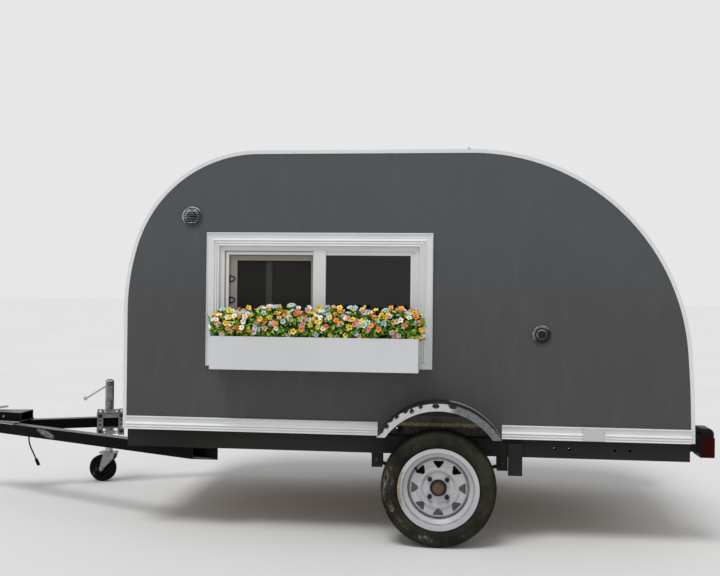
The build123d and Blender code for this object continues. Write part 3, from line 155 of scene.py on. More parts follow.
def turned(profile, centre=(0, 0, 0), axis=Z_AXIS, steps=32, finish=0):
    """Round form: each (place along the axis, radius) pair swings once round the axis."""
    u, v, w = square_frame(axis)
    line = np.asarray(profile, float)
    turn = np.arange(steps) * 2 * np.pi / steps
    around = np.cos(turn)[:, None] * u + np.sin(turn)[:, None] * v
    points = np.asarray(centre, float) + line[:, None, :1] * w + line[:, None, 1:] * around[None]
    return grid(points, close_v=True, caps=True, finish=finish)


def carried(section, path, ups, closed=False):
    """Profile carried along a path: section (across, up) pairs stand square to each stretch of the path."""
    line = np.asarray(path, float)
    before = np.roll(line, 1, axis=0) if closed else np.concatenate([line[:1], line[:-1]])
    after = np.roll(line, -1, axis=0) if closed else np.concatenate([line[1:], line[-1:]])
    along = after - before
    along = along / np.linalg.norm(along, axis=1)[:, None]
    up = np.broadcast_to(np.asarray(ups, float), line.shape)
    across = np.cross(along, up)
    across = across / np.linalg.norm(across, axis=1)[:, None]
    up = np.cross(across, along)
    shape = np.asarray(section, float)
    points = line[:, None] + shape[None, :, :1] * across[:, None] + shape[None, :, 1:] * up[:, None]
    return grid(points, close_u=closed, close_v=True, caps=not closed)


def ring_section(radius, steps=8):
    """Points of a circle at even turns."""
    turn = np.arange(steps) * 2 * np.pi / steps
    return np.stack([radius * np.cos(turn), radius * np.sin(turn)], axis=1)


# Points that a round corner of a small block is made of
CORNER_POINTS = 4


def round_box(low_corner, high_corner, edge, finish=0):
    """Block whose section is a rectangle with round corners, carried along Y with eased ends."""
    lo, hi = np.asarray(low_corner, float), np.asarray(high_corner, float)
    half = (hi - lo) / 2
    middle = (hi + lo) / 2
    turn = np.linspace(0, np.pi / 2, CORNER_POINTS)
    corner = np.concatenate([turn + k * np.pi / 2 for k in range(4)])
    cx = np.repeat(np.array([1, -1, -1, 1]), CORNER_POINTS)
    cy = np.repeat(np.array([1, 1, -1, -1]), CORNER_POINTS)
    rows = []
    for place, inset in ((-1, edge), (-1, 0), (1, 0), (1, edge)):
        r = max(edge - inset, edge * 0.3)
        z = cx * (half[2] - inset - r) + r * np.cos(corner)
        x = cy * (half[0] - inset - r) + r * np.sin(corner)
        y = np.full(len(corner), place * (half[1] - (edge if inset == 0 else 0)))
        rows.append(middle + np.stack([x, y, z], axis=1))
    return grid(np.array(rows), close_v=True, caps=True, finish=finish)


def stamped(shape, places, directions, sizes=1.0, spins=0.0, tints=None, finish=0):
    """Copies of a small shape at many places, its own Z laid along each direction and spun about it."""
    places = np.asarray(places, float).reshape(-1, 3)
    count = len(places)
    w = np.broadcast_to(np.asarray(directions, float), (count, 3))
    w = w / np.linalg.norm(w, axis=1)[:, None]
    side = np.where(np.abs(w[:, 2:]) < 0.9, Z_AXIS, X_AXIS)
    u = np.cross(side, w)
    u = u / np.linalg.norm(u, axis=1)[:, None]
    v = np.cross(w, u)
    spin = np.broadcast_to(np.asarray(spins, float), (count,))[:, None]
    a = u * np.cos(spin) + v * np.sin(spin)
    b = -u * np.sin(spin) + v * np.cos(spin)
    size = np.broadcast_to(np.asarray(sizes, float), (count,))
    base = np.stack([a, b, w], axis=1) * size[:, None, None]
    points = np.einsum("pk,nkj->npj", shape.points, base) + places[:, None]
    step = np.arange(count)[:, None, None] * len(shape.points)
    faces = [(part[None] + step).reshape(-1, part.shape[1]) for part in shape.faces]
    tint = np.tile(shape.tint, count)
    if tints is not None:
        tint = tint + np.repeat(np.broadcast_to(np.asarray(tints, float), (count,)), len(shape.points))
    whole = Surface(points.reshape(-1, 3), faces, finish, tint)
    whole.finishes = [np.tile(part, count) + finish for part in shape.finishes]
    return whole


def piece(name, surfaces, finishes, body="trailer", replaces=(), angle=30.0, weld=True):
    """Object made of the surfaces, with smooth faces up to an angle, that rides on a body of the frame."""
    whole = joined(surfaces)
    mesh = bpy.data.meshes.new(name)
    mesh.vertices.add(len(whole.points))
    mesh.vertices.foreach_set("co", whole.points.ravel())
    corners = np.concatenate([part.ravel() for part in whole.faces])
    totals = np.concatenate([np.full(len(part), part.shape[1]) for part in whole.faces])
    mesh.loops.add(len(corners))
    mesh.loops.foreach_set("vertex_index", corners)
    mesh.polygons.add(len(totals))
    mesh.polygons.foreach_set("loop_start", np.cumsum(totals) - totals)
    mesh.polygons.foreach_set("loop_total", totals)
    mesh.polygons.foreach_set("material_index", np.concatenate(whole.finishes))
    mesh.update(calc_edges=True)
    tint = mesh.attributes.new("tint", "FLOAT", "POINT")
    tint.data.foreach_set("value", whole.tint)
    if weld:
        form = bmesh.new()
        form.from_mesh(mesh)
        bmesh.ops.remove_doubles(form, verts=form.verts, dist=1e-6)
        bmesh.ops.recalc_face_normals(form, faces=form.faces)
        form.to_mesh(mesh)
        form.free()
    mesh.shade_smooth()
    mesh.set_sharp_from_angle(angle=math.radians(angle))
    for finish in finishes:
        mesh.materials.append(material(finish))
    thing = bpy.data.objects.new(name, mesh)
    bpy.context.scene.collection.objects.link(thing)
    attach(thing, body)
    if replaces:
        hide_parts(*replaces)
    return thing


# Small parts that repeat
def pan_head(radius, height):
    """Domed screw head with a cross recess hinted by a dished middle."""
    profile = [(-height, radius), (0, radius), (height * 0.6, radius * 0.86), (height, radius * 0.45),
               (height * 0.8, radius * 0.3)]
    return turned(profile, steps=10)


def hex_head(across, height, washer=0.0):
    """Six-sided head with its corners turned off, on a washer when one is given."""
    radius = across / math.sqrt(3)
    profile = [(-height * 0.2, radius * 0.9), (0, radius), (height * 0.82, radius), (height, radius * 0.86)]
    head = turned(profile, steps=6)
    if not washer:
        return head
    disc = turned([(-height * 0.3, washer), (height * 0.12, washer), (height * 0.2, washer * 0.94)], steps=16)
    return joined([disc, head])


# Distance between the ripples of a weld, and how much they swell
RIPPLE_PITCH = 0.0022
RIPPLE_SWELL = 0.22


def weld_bead(start, end, radius):
    """Ridge of weld metal between two points: its radius swells in a sine and shrinks to both ends."""
    start, end = np.asarray(start, float), np.asarray(end, float)
    length = np.linalg.norm(end - start)
    count = max(6, int(length / RIPPLE_PITCH))
    share = np.linspace(0, 1, count)
    path = start + (end - start) * share[:, None]
    ends = np.sqrt(np.clip(share * (1 - share) * 40, 0.05, 1))
    swell = radius * (1 + RIPPLE_SWELL * np.sin(np.arange(count) * 2.1)) * ends
    u, v, _ = square_frame(end - start)
    turn = np.arange(7) * 2 * np.pi / 7
    ring = np.cos(turn)[:, None] * u + np.sin(turn)[:, None] * v
    return grid(path[:, None] + swell[:, None, None] * ring[None], close_v=True, caps=True)


# Shader nodes
def srgb(code):
    """Linear colour of a six-digit colour code."""
    parts = [int(code[k:k + 2], 16) / 255 for k in (1, 3, 5)]
    return tuple(c / 12.92 if c <= 0.04045 else ((c + 0.055) / 1.055) ** 2.4 for c in parts) + (1.0,)


def colour_of(word):
    """The four numbers of a colour code, or of a paint that is chosen in the panel."""
    if word.startswith("#"):
        return srgb(word)
    return tuple(getattr(bpy.context.scene.trailer_paints, word)) + (1.0,)


def shaded(word, *shares):
    """A colour taken by a share, one for the whole of it or one for each of red, green and blue."""
    return tuple(min(1, c * k) for c, k in zip(colour_of(word), shares * (3 // len(shares)))) + (1,)


class Tree:
    """A node tree being filled: every method adds one node or a few and gives back the last one's output."""

    def __init__(self, tree):
        self.tree = tree

    def node(self, kind, inputs=None, **options):
        """A node with its options set and its inputs fed."""
        made = self.tree.nodes.new("ShaderNode" + kind)
        for option, value in options.items():
            setattr(made, option, value)
        for key, value in (inputs or {}).items():
            self.feed(made.inputs[key], value)
        return made

    def feed(self, socket, value):
        """Link an output to a socket, or set the socket's own number or colour."""
        if isinstance(value, bpy.types.NodeSocket):
            self.tree.links.new(value, socket)
        else:
            socket.default_value = colour_of(value) if isinstance(value, str) else value

    def math(self, operation, a, b=0.0, clamp=False):
        return self.node("Math", {0: a, 1: b}, operation=operation, use_clamp=clamp).outputs[0]

    def plus(self, a, b, clamp=False):
        return self.math("ADD", a, b, clamp)

    def minus(self, a, b):
        return self.math("SUBTRACT", a, b)

    def times(self, a, b, *more):
        product = self.math("MULTIPLY", a, b)
        return self.times(product, *more) if more else product

    def most(self, a, b):
        return self.math("MAXIMUM", a, b)

    def positive(self, a):
        return self.math("ABSOLUTE", a)

    def mix(self, share, a, b, **options):
        """From one colour to the other by the share."""
        return self.node("Mix", {0: share, 6: a, 7: b}, data_type="RGBA", **options).outputs[2]

    def multiply(self, share, a, b):
        """One colour darkened by the other, by the share."""
        return self.mix(share, a, b, blend_type="MULTIPLY")

    def over(self, base, colour, mask, share):
        """A colour laid over the base where the mask says, at most by the share."""
        return self.mix(self.times(mask, share), base, colour)

    def noise(self, vector, scale, detail=3.0, roughness=0.55, distortion=0.0):
        inputs = {"Vector": vector, "Scale": scale, "Detail": detail, "Roughness": roughness,
                  "Distortion": distortion}
        return self.node("TexNoise", inputs).outputs["Fac"]

    def span(self, value, start, end, low_value=0.0, high_value=1.0):
        """Smooth step: the low value at the start and before it, the high value at the end and after it."""
        inputs = {"Value": value, "From Min": start, "From Max": end, "To Min": low_value,
                  "To Max": high_value}
        return self.node("MapRange", inputs, interpolation_type="SMOOTHSTEP").outputs["Result"]

    def ramp(self, value, stops, constant=False):
        """Colour picked along a band of places and colours."""
        made = self.node("ValToRGB", {"Fac": value})
        band = made.color_ramp
        band.interpolation = "CONSTANT" if constant else "LINEAR"
        while len(band.elements) < len(stops):
            band.elements.new(1.0)
        for element, (place, colour) in zip(band.elements, stops):
            element.position = place
            element.color = colour_of(colour)
        return made.outputs["Color"]

    def stretched(self, vector, x, y, z):
        return self.node("Mapping", {"Vector": vector, "Scale": (x, y, z)}).outputs["Vector"]

    def vector_math(self, operation, a, b):
        return self.node("VectorMath", {0: a, 1: b}, operation=operation).outputs

    def parts(self, vector):
        """X, Y and Z of a vector."""
        return self.node("SeparateXYZ", {"Vector": vector}).outputs

    def own_normal(self):
        """Direction the surface looks in, in the object's own space, so that it turns with the object."""
        return self.node("TexCoord").outputs["Normal"]

    def tint(self):
        """The tint that each point of the mesh carries."""
        return self.node("Attribute", attribute_name="tint").outputs["Fac"]

    def bump(self, height, distance, strength=1.0, normal=None):
        inputs = {"Height": height, "Distance": distance, "Strength": strength}
        if normal is not None:
            inputs["Normal"] = normal
        return self.node("Bump", inputs).outputs["Normal"]

    def group(self, name, place, **inputs):
        """One of the shared node groups, fed with the place and with its own values."""
        made = self.tree.nodes.new("ShaderNodeGroup")
        made.node_tree = node_group(name)
        self.feed(made.inputs["Vector"], place)
        for key, value in inputs.items():
            self.feed(made.inputs[key.replace("_", " ").title()], value)
        return made.outputs


# Effects that several finishes share: each function fills one node group and gives what it puts out
def eased_edges(t, entry):
    """The bevelled normal, and a broken mask where the surface turns over an edge."""
    eased = t.node("Bevel", {"Radius": entry["Radius"]}, samples=4).outputs[0]
    wide = t.node("Bevel", {"Radius": entry["Wear Width"]}, samples=4).outputs[0]
    straight = t.node("NewGeometry").outputs["True Normal"]
    edge = t.span(t.vector_math("DOT_PRODUCT", wide, straight)["Value"], 0.985, 0.80)
    broken = t.span(t.noise(entry["Vector"], entry["Breakup"], 4.0, 0.65), 0.42, 0.62)
    return {"Normal": eased, "Wear": t.times(edge, broken), "Edge": edge}


def road_dust(t, entry):
    """Dust, thick low down and on faces that look up, broken by cloudy noise."""
    lowness = t.span(t.parts(entry["Vector"])["Z"], entry["High"], entry["Low"])
    flat = t.times(t.span(t.parts(t.own_normal())["Z"], 0.5, 0.95), entry["Upward"])
    cloud = t.span(t.noise(entry["Vector"], entry["Scale"], 6.0, 0.62), 0.32, 0.68)
    speck = t.span(t.noise(entry["Vector"], 260.0, 2.0, 0.7), 0.45, 0.7)
    return {"Mask": t.times(t.plus(lowness, flat, clamp=True), cloud, t.plus(t.times(speck, 0.5), 0.5))}


def rust_bloom(t, entry):
    """Blotches of rust with ragged rims, and browns that change across them."""
    blotch = t.noise(entry["Vector"], entry["Scale"], 8.0, 0.7, 0.4)
    mask = t.span(t.minus(blotch, t.minus(0.78, t.times(entry["Amount"], 0.5))), -0.03, 0.04)
    fine = t.noise(entry["Vector"], 180.0, 5.0, 0.7)
    browns = t.ramp(fine, [(0.3, "#2E1A12"), (0.5, "#6B3A20"), (0.68, "#A0643A")])
    return {"Mask": mask, "Colour": browns, "Height": fine}


def timber_grain(t, entry):
    """Wood grain along X: long bands bent by slow noise, with fine dark pores."""
    sized = t.node("VectorMath", {0: entry["Vector"], 3: entry["Scale"]}, operation="SCALE").outputs["Vector"]
    band = t.noise(t.stretched(sized, 1.2, 18.0, 18.0), 1.6, 5.0, 0.6, 1.2)
    pore = t.noise(t.stretched(sized, 14.0, 420.0, 420.0), 1.0, 2.0, 0.6)
    return {"Band": t.span(band, 0.3, 0.7), "Pore": t.span(pore, 0.55, 0.7)}


# The groups: what fills each, its numbers beside the place, and the kinds of its outputs
GROUPS = {
    "Eased edges": (eased_edges, {"Radius": 0.0015, "Wear Width": 0.003, "Breakup": 60.0},
                    {"Normal": "Vector", "Wear": "Float", "Edge": "Float"}),
    "Road dust": (road_dust, {"Low": 0.1, "High": 0.7, "Upward": 0.3, "Scale": 9.0}, {"Mask": "Float"}),
    "Rust bloom": (rust_bloom, {"Amount": 0.3, "Scale": 14.0},
                   {"Mask": "Float", "Colour": "Color", "Height": "Float"}),
    "Timber grain": (timber_grain, {"Scale": 1.0}, {"Band": "Float", "Pore": "Float"}),
}


def node_group(name):
    """The node group of that name, built the first time that it is asked for."""
    if name in bpy.data.node_groups:
        return bpy.data.node_groups[name]
    fill, numbers, kinds = GROUPS[name]
    tree = bpy.data.node_groups.new(name, "ShaderNodeTree")
    tree.interface.new_socket("Vector", in_out="INPUT", socket_type="NodeSocketVector")
    for label, value in numbers.items():
        socket = tree.interface.new_socket(label, in_out="INPUT", socket_type="NodeSocketFloat")
        socket.default_value = value
    for label, kind in kinds.items():
        tree.interface.new_socket(label, in_out="OUTPUT", socket_type="NodeSocket" + kind)
    entry = tree.nodes.new("NodeGroupInput").outputs
    leave = tree.nodes.new("NodeGroupOutput").inputs
    t = Tree(tree)
    for label, value in fill(t, entry).items():
        t.feed(leave[label], value)
    return tree


# Finishes: each function gets a tree and the place on the object, and gives what goes into the shader
DUST = "#8E8375"
# How far inside the wall's face the outer edges of the joists lie
JOIST_DEPTH = 0.0385


def coated(t, place, colour, roughness=0.45, metallic=0.0, under=None, wear=0.5, radius=0.0015, peel=0.15,
           peel_scale=420.0, dust=0.3, dust_high=0.7, upward=0.3, rust=0.0, rust_scale=14.0, shift=0.12,
           coat=0.0, tone=None, breakup=60.0, specular=0.5, dust_colour=DUST):
    """Painted or plated surface: a base coat that wears through at edges, with rust and road dust over it."""
    eased = t.group("Eased edges", place, radius=radius, wear_width=radius * 1.8, breakup=breakup)
    slow = t.span(t.noise(place, 3.2, 4.0, 0.5), 0.3, 0.7)
    base = t.mix(slow, shaded(colour, 1 - shift), shaded(colour, 1 + shift))
    if tone:
        base = tone(t, place, base)
    base = t.over(base, under or colour, eased["Wear"], wear)
    rough = t.span(t.noise(place, 38.0, 4.0, 0.6), 0.3, 0.7, roughness - 0.07, roughness + 0.09)
    shine = metallic
    height = t.noise(place, peel_scale, 2.0, 0.5)
    if rust:
        bloom = t.group("Rust bloom", place, amount=rust, scale=rust_scale)
        base = t.mix(bloom["Mask"], base, bloom["Colour"])
        rough = t.most(rough, t.times(bloom["Mask"], 0.85))
        shine = t.times(t.minus(1.0, bloom["Mask"]), metallic)
        height = t.plus(height, t.times(bloom["Height"], bloom["Mask"], 2.0))
    if dust:
        film = t.times(t.group("Road dust", place, low=0.05, high=dust_high, upward=upward)["Mask"], dust)
        base = t.mix(film, base, dust_colour)
        rough = t.plus(rough, t.times(film, 0.3), clamp=True)
    return {"Base Color": base, "Roughness": rough, "Metallic": shine, "Coat Weight": coat,
            "Coat Roughness": 0.15, "Specular IOR Level": specular,
            "Normal": t.bump(height, 0.0008, peel, eased["Normal"])}


def ply_tone(t, place):
    """Colour of bare plywood: two browns in bands, with dark pores."""
    grain = t.group("Timber grain", place, scale=1.0)
    return t.over(t.mix(grain["Band"], "#A57D50", "#C39E70"), "#7C5A38", grain["Pore"], 0.5)


def wall_tone(t, place, base):
    """Paint darkened and browned towards the sill as painted shade and turned blue-grey towards the roof as a
    painted sky reflection, with roller marks and smudges, mud and painted shade in the wheel arch, and ply
    inside.
    """
    parts = t.parts(place)
    rise = t.span(parts["Z"], FOOT, ROOF)
    # Painted light: the paint darkens and browns towards the foot as painted shade, and turns blue-grey
    # towards the roof as a painted sky reflection.
    shade_and_sky_gradient = t.multiply(1.0, base, t.mix(rise, "#F1EDE8", "#FFFFFF"))
    shade_and_sky_gradient = t.mix(t.span(rise, 0.35, 1.0, 0.0, 0.35), shade_and_sky_gradient, "#49515A")
    roller = t.noise(t.stretched(place, 3.0, 3.0, 0.6), 9.0, 3.0, 0.5)
    marked = t.mix(t.span(roller, 0.45, 0.85, 0.0, 0.16), shade_and_sky_gradient, "#5C6064")
    smudge = t.span(t.noise(place, 2.1, 5.0, 0.7, 1.5), 0.62, 0.72, 0.0, 0.14)
    painted = t.mix(smudge, marked, "#3A3A3A")
    depth = t.minus(WALL, t.positive(parts["Y"]))
    hollow = t.times(t.span(depth, 0.0005, 0.002), t.span(depth, 0.030, 0.024),
                     t.span(parts["Z"], 0.66, 0.62))
    cloud = t.noise(place, 26.0, 7.0, 0.7)
    shelf = t.span(t.plus(parts["Z"], t.times(cloud, 0.012)), 0.524, 0.532)
    muddy = t.mix(t.span(cloud, 0.3, 0.7), "#3A3426", "#5E563F")
    # Mud on the shelf low in the arch, and near-black painted shade in the hollow above it.
    mud_and_painted_shade = t.mix(shelf, muddy, t.mix(cloud, "#050504", "#14110E"))
    inner = t.times(t.span(depth, 0.002, 0.006), t.minus(1.0, hollow))
    return t.mix(hollow, t.mix(inner, painted, ply_tone(t, place)), mud_and_painted_shade)


def sheet_tone(t, place, base):
    """Roof skin: painted outside and bare plywood inside, told apart by which way the face looks."""
    middle = (FRONT / 2 + REAR / 2, 0, FOOT + 0.45)
    away = t.vector_math("SUBTRACT", place, middle)["Vector"]
    out = t.vector_math("DOT_PRODUCT", t.own_normal(), away)["Value"]
    return t.mix(t.span(out, 0.0, -0.05), base, ply_tone(t, place))


def dust_and_lit_top(t, place, base):
    """Pale blue-grey streaks on the faces that look up: dust, and painted light on the tops."""
    streak = t.noise(t.stretched(place, 8.0, 40.0, 8.0), 1.5, 5.0, 0.65)
    facing = t.span(t.parts(t.own_normal())["Z"], 0.7, 0.95)
    return t.over(base, "#7B7F85", facing, t.span(streak, 0.25, 0.65, 0.35, 0.85))


# The patch of scratches on the left arm: its middle, and one over its half length and half height
SCUFF_MIDDLE = (FRONT + 0.543, 0.226, 0.338)
SCUFF_REACH = (15.0, 54.0)
SCUFF_SLOPE = -0.22


def scuffed_tone(t, place, base):
    """Dust and painted light on top, and pale scratches in one patch on the outer face of the left arm."""
    parts = t.parts(t.vector_math("SUBTRACT", place, SCUFF_MIDDLE)["Vector"])
    drift = t.plus(parts["Z"], t.times(parts["X"], SCUFF_SLOPE))
    away = t.plus(t.math("POWER", t.times(parts["X"], SCUFF_REACH[0]), 2.0),
                  t.math("POWER", t.times(drift, SCUFF_REACH[1]), 2.0))
    ragged = t.plus(away, t.times(t.noise(place, 60.0, 4.0, 0.7), 1.4))
    near = t.times(t.span(ragged, 1.75, 0.9), t.span(t.positive(parts["Y"]), 0.10, 0.06))
    scratch = t.span(t.noise(t.stretched(place, 60.0, 60.0, 150.0), 2.0, 6.0, 0.75, 1.2), 0.48, 0.55)
    return t.over(dust_and_lit_top(t, place, base), "#B4B4B4", near, t.times(scratch, 0.9))


def timber(t, place, light, dark, scale=1.0, dust=0.2, mud="#C2B892", dark_mud="#6E6448"):
    """Bare wood with bands and pores, dusty low down, its outer edges caked with dirt from the wheels."""
    eased = t.group("Eased edges", place, radius=0.0015, wear_width=0.003)
    grain = t.group("Timber grain", place, scale=scale)
    base = t.over(t.mix(grain["Band"], dark, light), shaded(dark, 0.4), grain["Pore"], 0.5)
    base = t.over(base, DUST, t.group("Road dust", place, low=0.1, high=0.6)["Mask"], dust)
    out = t.positive(t.parts(place)["Y"])
    caked = t.span(out, WALL - JOIST_DEPTH - 0.001, WALL - JOIST_DEPTH)
    crumb = t.noise(place, 70.0, 6.0, 0.75)
    caking = t.mix(t.span(crumb, 0.38, 0.62), dark_mud, mud)
    return {"Base Color": t.mix(caked, base, caking), "Roughness": 0.6,
            "Normal": t.bump(t.plus(grain["Pore"], t.times(caked, crumb)), 0.0008, 0.4, eased["Normal"])}


def dark_glass(t, place, tint=(0.055, 0.06, 0.058, 1)):
    """Tinted window glass with faint wipe marks in its roughness."""
    marks = t.noise(t.stretched(place, 2.0, 2.0, 9.0), 6.0, 5.0, 0.7, 0.8)
    return {"Base Color": tint, "Roughness": t.span(marks, 0.5, 0.75, 0.02, 0.09), "Transmission Weight": 1.0,
            "IOR": 1.45, "Specular IOR Level": 0.3}


# Marks on a round part: turn from upright in degrees, radius, half length and half width
BLOTCHES = [(52.7, 0.2975, 0.022, 0.0090), (46.6, 0.2920, 0.013, 0.0085), (35.5, 0.2955, 0.014, 0.0080),
            (27.0, 0.2970, 0.016, 0.0070), (22.5, 0.2885, 0.0105, 0.0120), (14.3, 0.2945, 0.0105, 0.0085),
            (2.5, 0.2900, 0.0130, 0.0105), (-10.6, 0.2950, 0.0150, 0.0105), (41.0, 0.2985, 0.012, 0.0060)]
SCUFFS = [(86.0, 0.2120, 0.080, 0.026), (108.0, 0.2060, 0.034, 0.014), (165.0, 0.2070, 0.034, 0.015),
          (131.0, 0.2020, 0.044, 0.008), (-38.0, 0.2070, 0.016, 0.006), (-152.0, 0.2090, 0.020, 0.006)]


def marks_mask(t, marks, turn, radius, uneven):
    """One inside any of the marks, each an oval with an uneven rim."""
    mask = 0.0
    for middle, reach, half_length, half_width in marks:
        along = t.times(t.minus(turn, math.radians(middle)), reach / half_length)
        across = t.times(t.minus(radius, reach), 1 / half_width)
        away = t.plus(t.times(along, along), t.times(across, across))
        mask = t.most(mask, t.span(t.plus(away, uneven), 1.35, 0.75))
    return mask


def polar_place(t, place, middle):
    """Distance from a line across the trailer through the middle, and the parts of it ahead and upwards."""
    parts = t.parts(place)
    ahead = t.minus(parts["X"], middle[0])
    rise = t.minus(parts["Z"], middle[2])
    return t.math("POWER", t.plus(t.times(ahead, ahead), t.times(rise, rise)), 0.5), ahead, rise


def ring_mask(t, radius, place, width, soft):
    """One near the given radius and nothing away from it."""
    return t.span(t.positive(t.minus(radius, place)), width + soft, width)


def rubber(t, place, colour, dusty=0.5, dust_high=0.6, scuffed=0.5, node=None):
    """Dark rubber: brown dust where the tint says and low down, and pale scuffs gathered in a few patches.

    With a node named, the scuffs lie at their own places round it."""
    cloud = t.span(t.noise(place, 7.0, 6.0, 0.65), 0.35, 0.7)
    base = t.mix(cloud, colour, shaded(colour, 1.8, 1.75, 1.55))
    low_film = t.span(t.parts(place)["Z"], dust_high, 0.0, 0.25, 0.9)
    base = t.mix(t.times(t.tint(), cloud, low_film, dusty), base, "#5A5749")
    if node:
        radius, ahead, rise = polar_place(t, place, middle_of(node))
        uneven = t.span(t.noise(place, 28.0, 5.0, 0.7), 0.3, 0.7, -0.5, 0.9)
        patch = marks_mask(t, SCUFFS, t.math("ARCTAN2", ahead, rise), radius, uneven)
        grain = t.span(t.noise(place, 170.0, 4.0, 0.7), 0.36, 0.62, 0.25, 1.0)
        streak = t.noise(t.stretched(place, 1.0, 1.0, 0.4), 42.0, 7.0, 0.8, 0.6)
        fine = t.times(t.span(streak, 0.44, 0.70), grain)
    else:
        patch = t.span(t.noise(place, 6.5, 3.0, 0.55), 0.50, 0.62)
        fine = t.span(t.noise(t.stretched(place, 1.0, 1.0, 0.35), 30.0, 6.0, 0.78, 0.5), 0.50, 0.64)
    return {"Base Color": t.mix(t.times(fine, patch, scuffed), base, "#A09B90"),
            "Roughness": t.span(cloud, 0.0, 1.0, 0.62, 0.82), "Specular IOR Level": 0.06,
            "Normal": t.bump(t.noise(place, 900.0, 2.0, 0.6), 0.0004, 0.25)}


def galvanised(t, place):
    """Zinc: crystal flakes of slightly different greys and gloss, dulled by a white bloom."""
    eased = t.group("Eased edges", place, radius=0.001, wear_width=0.002)
    flake = t.node("TexVoronoi", {"Vector": place, "Scale": 95.0}).outputs["Color"]
    tone = t.parts(flake)["X"]
    bloom = t.span(t.noise(place, 20.0, 6.0, 0.7), 0.5, 0.72)
    base = t.over(t.mix(tone, "#7C8081", "#A2A6A6"), "#94948D", bloom, 0.5)
    base = t.over(base, DUST, t.group("Road dust", place, low=0.1, high=0.6)["Mask"], 0.35)
    return {"Base Color": base, "Metallic": t.span(bloom, 0.0, 1.0, 0.85, 0.45),
            "Roughness": t.span(tone, 0.0, 1.0, 0.36, 0.52),
            "Normal": t.bump(bloom, 0.0004, 0.2, eased["Normal"])}


def fender_paint(t, place):
    """Black sheet: its lip has flaked to white with black islands in front, and to brushed grey behind."""
    eased = t.group("Eased edges", place, radius=0.0015, wear_width=0.004)
    lo, hi = low("fenders"), high("fenders")
    radius, ahead, rise = polar_place(t, place, ((lo[0] + hi[0]) / 2, 0, hi[2] - FENDER_RADIUS))
    parts = t.parts(place)
    out = t.positive(parts["Y"])
    lip = t.span(out, hi[1] - 0.008, hi[1] - 0.0045)
    along = t.span(parts["X"], lo[0], hi[0])
    uneven = t.span(t.noise(place, 95.0, 4.0, 0.7), 0.3, 0.7, -0.55, 0.75)
    black = marks_mask(t, BLOTCHES, t.math("ARCTAN2", ahead, rise), radius, uneven)
    brushed = t.span(t.noise(t.stretched(place, 30.0, 30.0, 90.0), 3.0, 4.0, 0.6), 0.3, 0.7)
    grey = t.mix(brushed, "#4E5155", "#7D8085")
    white = t.mix(t.noise(place, 40.0, 5.0, 0.6), "#A4A7AA", "#D2D4D6")
    edge = t.plus(along, t.times(t.noise(place, 30.0, 4.0, 0.6), 0.12))
    flaked = t.mix(black, t.mix(t.span(edge, 0.35, 0.44), grey, white), "#101113")
    strip = t.times(t.span(out, WALL + 0.050, WALL + 0.040), t.span(edge, 0.46, 0.40))
    base = t.mix(t.noise(place, 5.0, 5.0, 0.6), "#07080A", "#15171B")
    base = t.mix(lip, t.over(base, "#9A9DA1", strip, 0.8), flaked)
    grime = t.group("Road dust", place, low=0.3, high=0.9, upward=0.8, scale=14.0)
    return {"Base Color": t.over(base, DUST, grime["Mask"], 0.10),
            "Roughness": t.span(t.noise(place, 30.0, 4.0), 0.3, 0.7, 0.38, 0.6), "Specular IOR Level": 0.25,
            "Normal": t.bump(t.minus(lip, black), 0.0006, 0.6, eased["Normal"])}


# Rings painted dark on the wheel's disc, dirt and painted shade where the disc meets the rim and at the rim's
# step, and a lilac-grey painted shade line at the raised ring: radius, half width, softness, how dark and of
# which colour
SEAMS = [(0.1268, 0.0014, 0.0012, 0.9, "#211D19"), (0.1467, 0.0008, 0.0022, 0.55, "#5B544C"),
         (0.0770, 0.0006, 0.0025, 0.5, "#77717A")]
RIM_BACK = 0.056


def wheel_paint(t, place):
    """Grey-white wheel enamel, tinted blue-grey low down as painted shade, with dirt and painted shade in
    rings at its seams and in its nooks, a brown stain by the bead, rusty specks, and the inside of its barrel
    painted near black as shade.
    """
    eased = t.group("Eased edges", place, radius=0.0015, wear_width=0.004, breakup=30.0)
    radius, ahead, rise = polar_place(t, place, middle_of("rim_left"))
    base = t.mix(t.noise(place, 8.0, 5.0, 0.6), "#ADADB0", "#C8C8CB")
    # Painted shade: the lower part of the wheel is tinted blue-grey.
    base = t.mix(t.span(rise, 0.02, -0.12, 0.0, 0.35), base, "#A3A3B4")
    broken = t.span(t.noise(place, 34.0, 5.0, 0.65), 0.25, 0.55)
    # Each ring darkens the disc: dirt and painted shade at the seams, painted shade at the raised ring.
    for reach, width, soft, share, colour in SEAMS:
        base = t.over(base, colour, t.times(ring_mask(t, radius, reach, width, soft), broken), share)
    # Dirt and painted shade: the disc darkens to brown where ambient occlusion finds it hemmed in.
    nook = t.node("AmbientOcclusion", {"Distance": 0.012}, samples=4).outputs["AO"]
    dirt = t.times(t.span(nook, 0.60, 0.20), t.span(t.noise(place, 30.0, 6.0, 0.7), 0.2, 0.6))
    base = t.over(base, "#6A645C", dirt, 0.45)
    side = t.span(t.times(ahead, t.math("DIVIDE", 1.0, t.most(radius, 0.01))), 0.80, 0.95)
    base = t.over(base, "#7D6A3C", t.times(side, t.span(radius, 0.150, 0.160), broken), 0.8)
    base = t.over(base, "#6A5A4C", t.span(t.noise(place, 75.0, 6.0, 0.75, 0.8), 0.62, 0.70), 0.5)
    # Painted shade: the inside of the rim's barrel, seen through the disc's windows, is painted near black.
    back = high("rim_left")[1] - RIM_BACK
    base = t.mix(t.span(t.positive(t.parts(place)["Y"]), back, back - 0.006), base, "#14110E")
    bloom = t.group("Rust bloom", place, amount=0.14, scale=40.0)
    worn = t.most(t.times(eased["Wear"], 0.45), t.times(bloom["Mask"], 0.6))
    return {"Base Color": t.mix(worn, base, bloom["Colour"]), "Roughness": t.span(dirt, 0.0, 1.0, 0.38, 0.75),
            "Normal": t.bump(t.noise(place, 160.0, 3.0, 0.6), 0.0006, 0.2, eased["Normal"])}


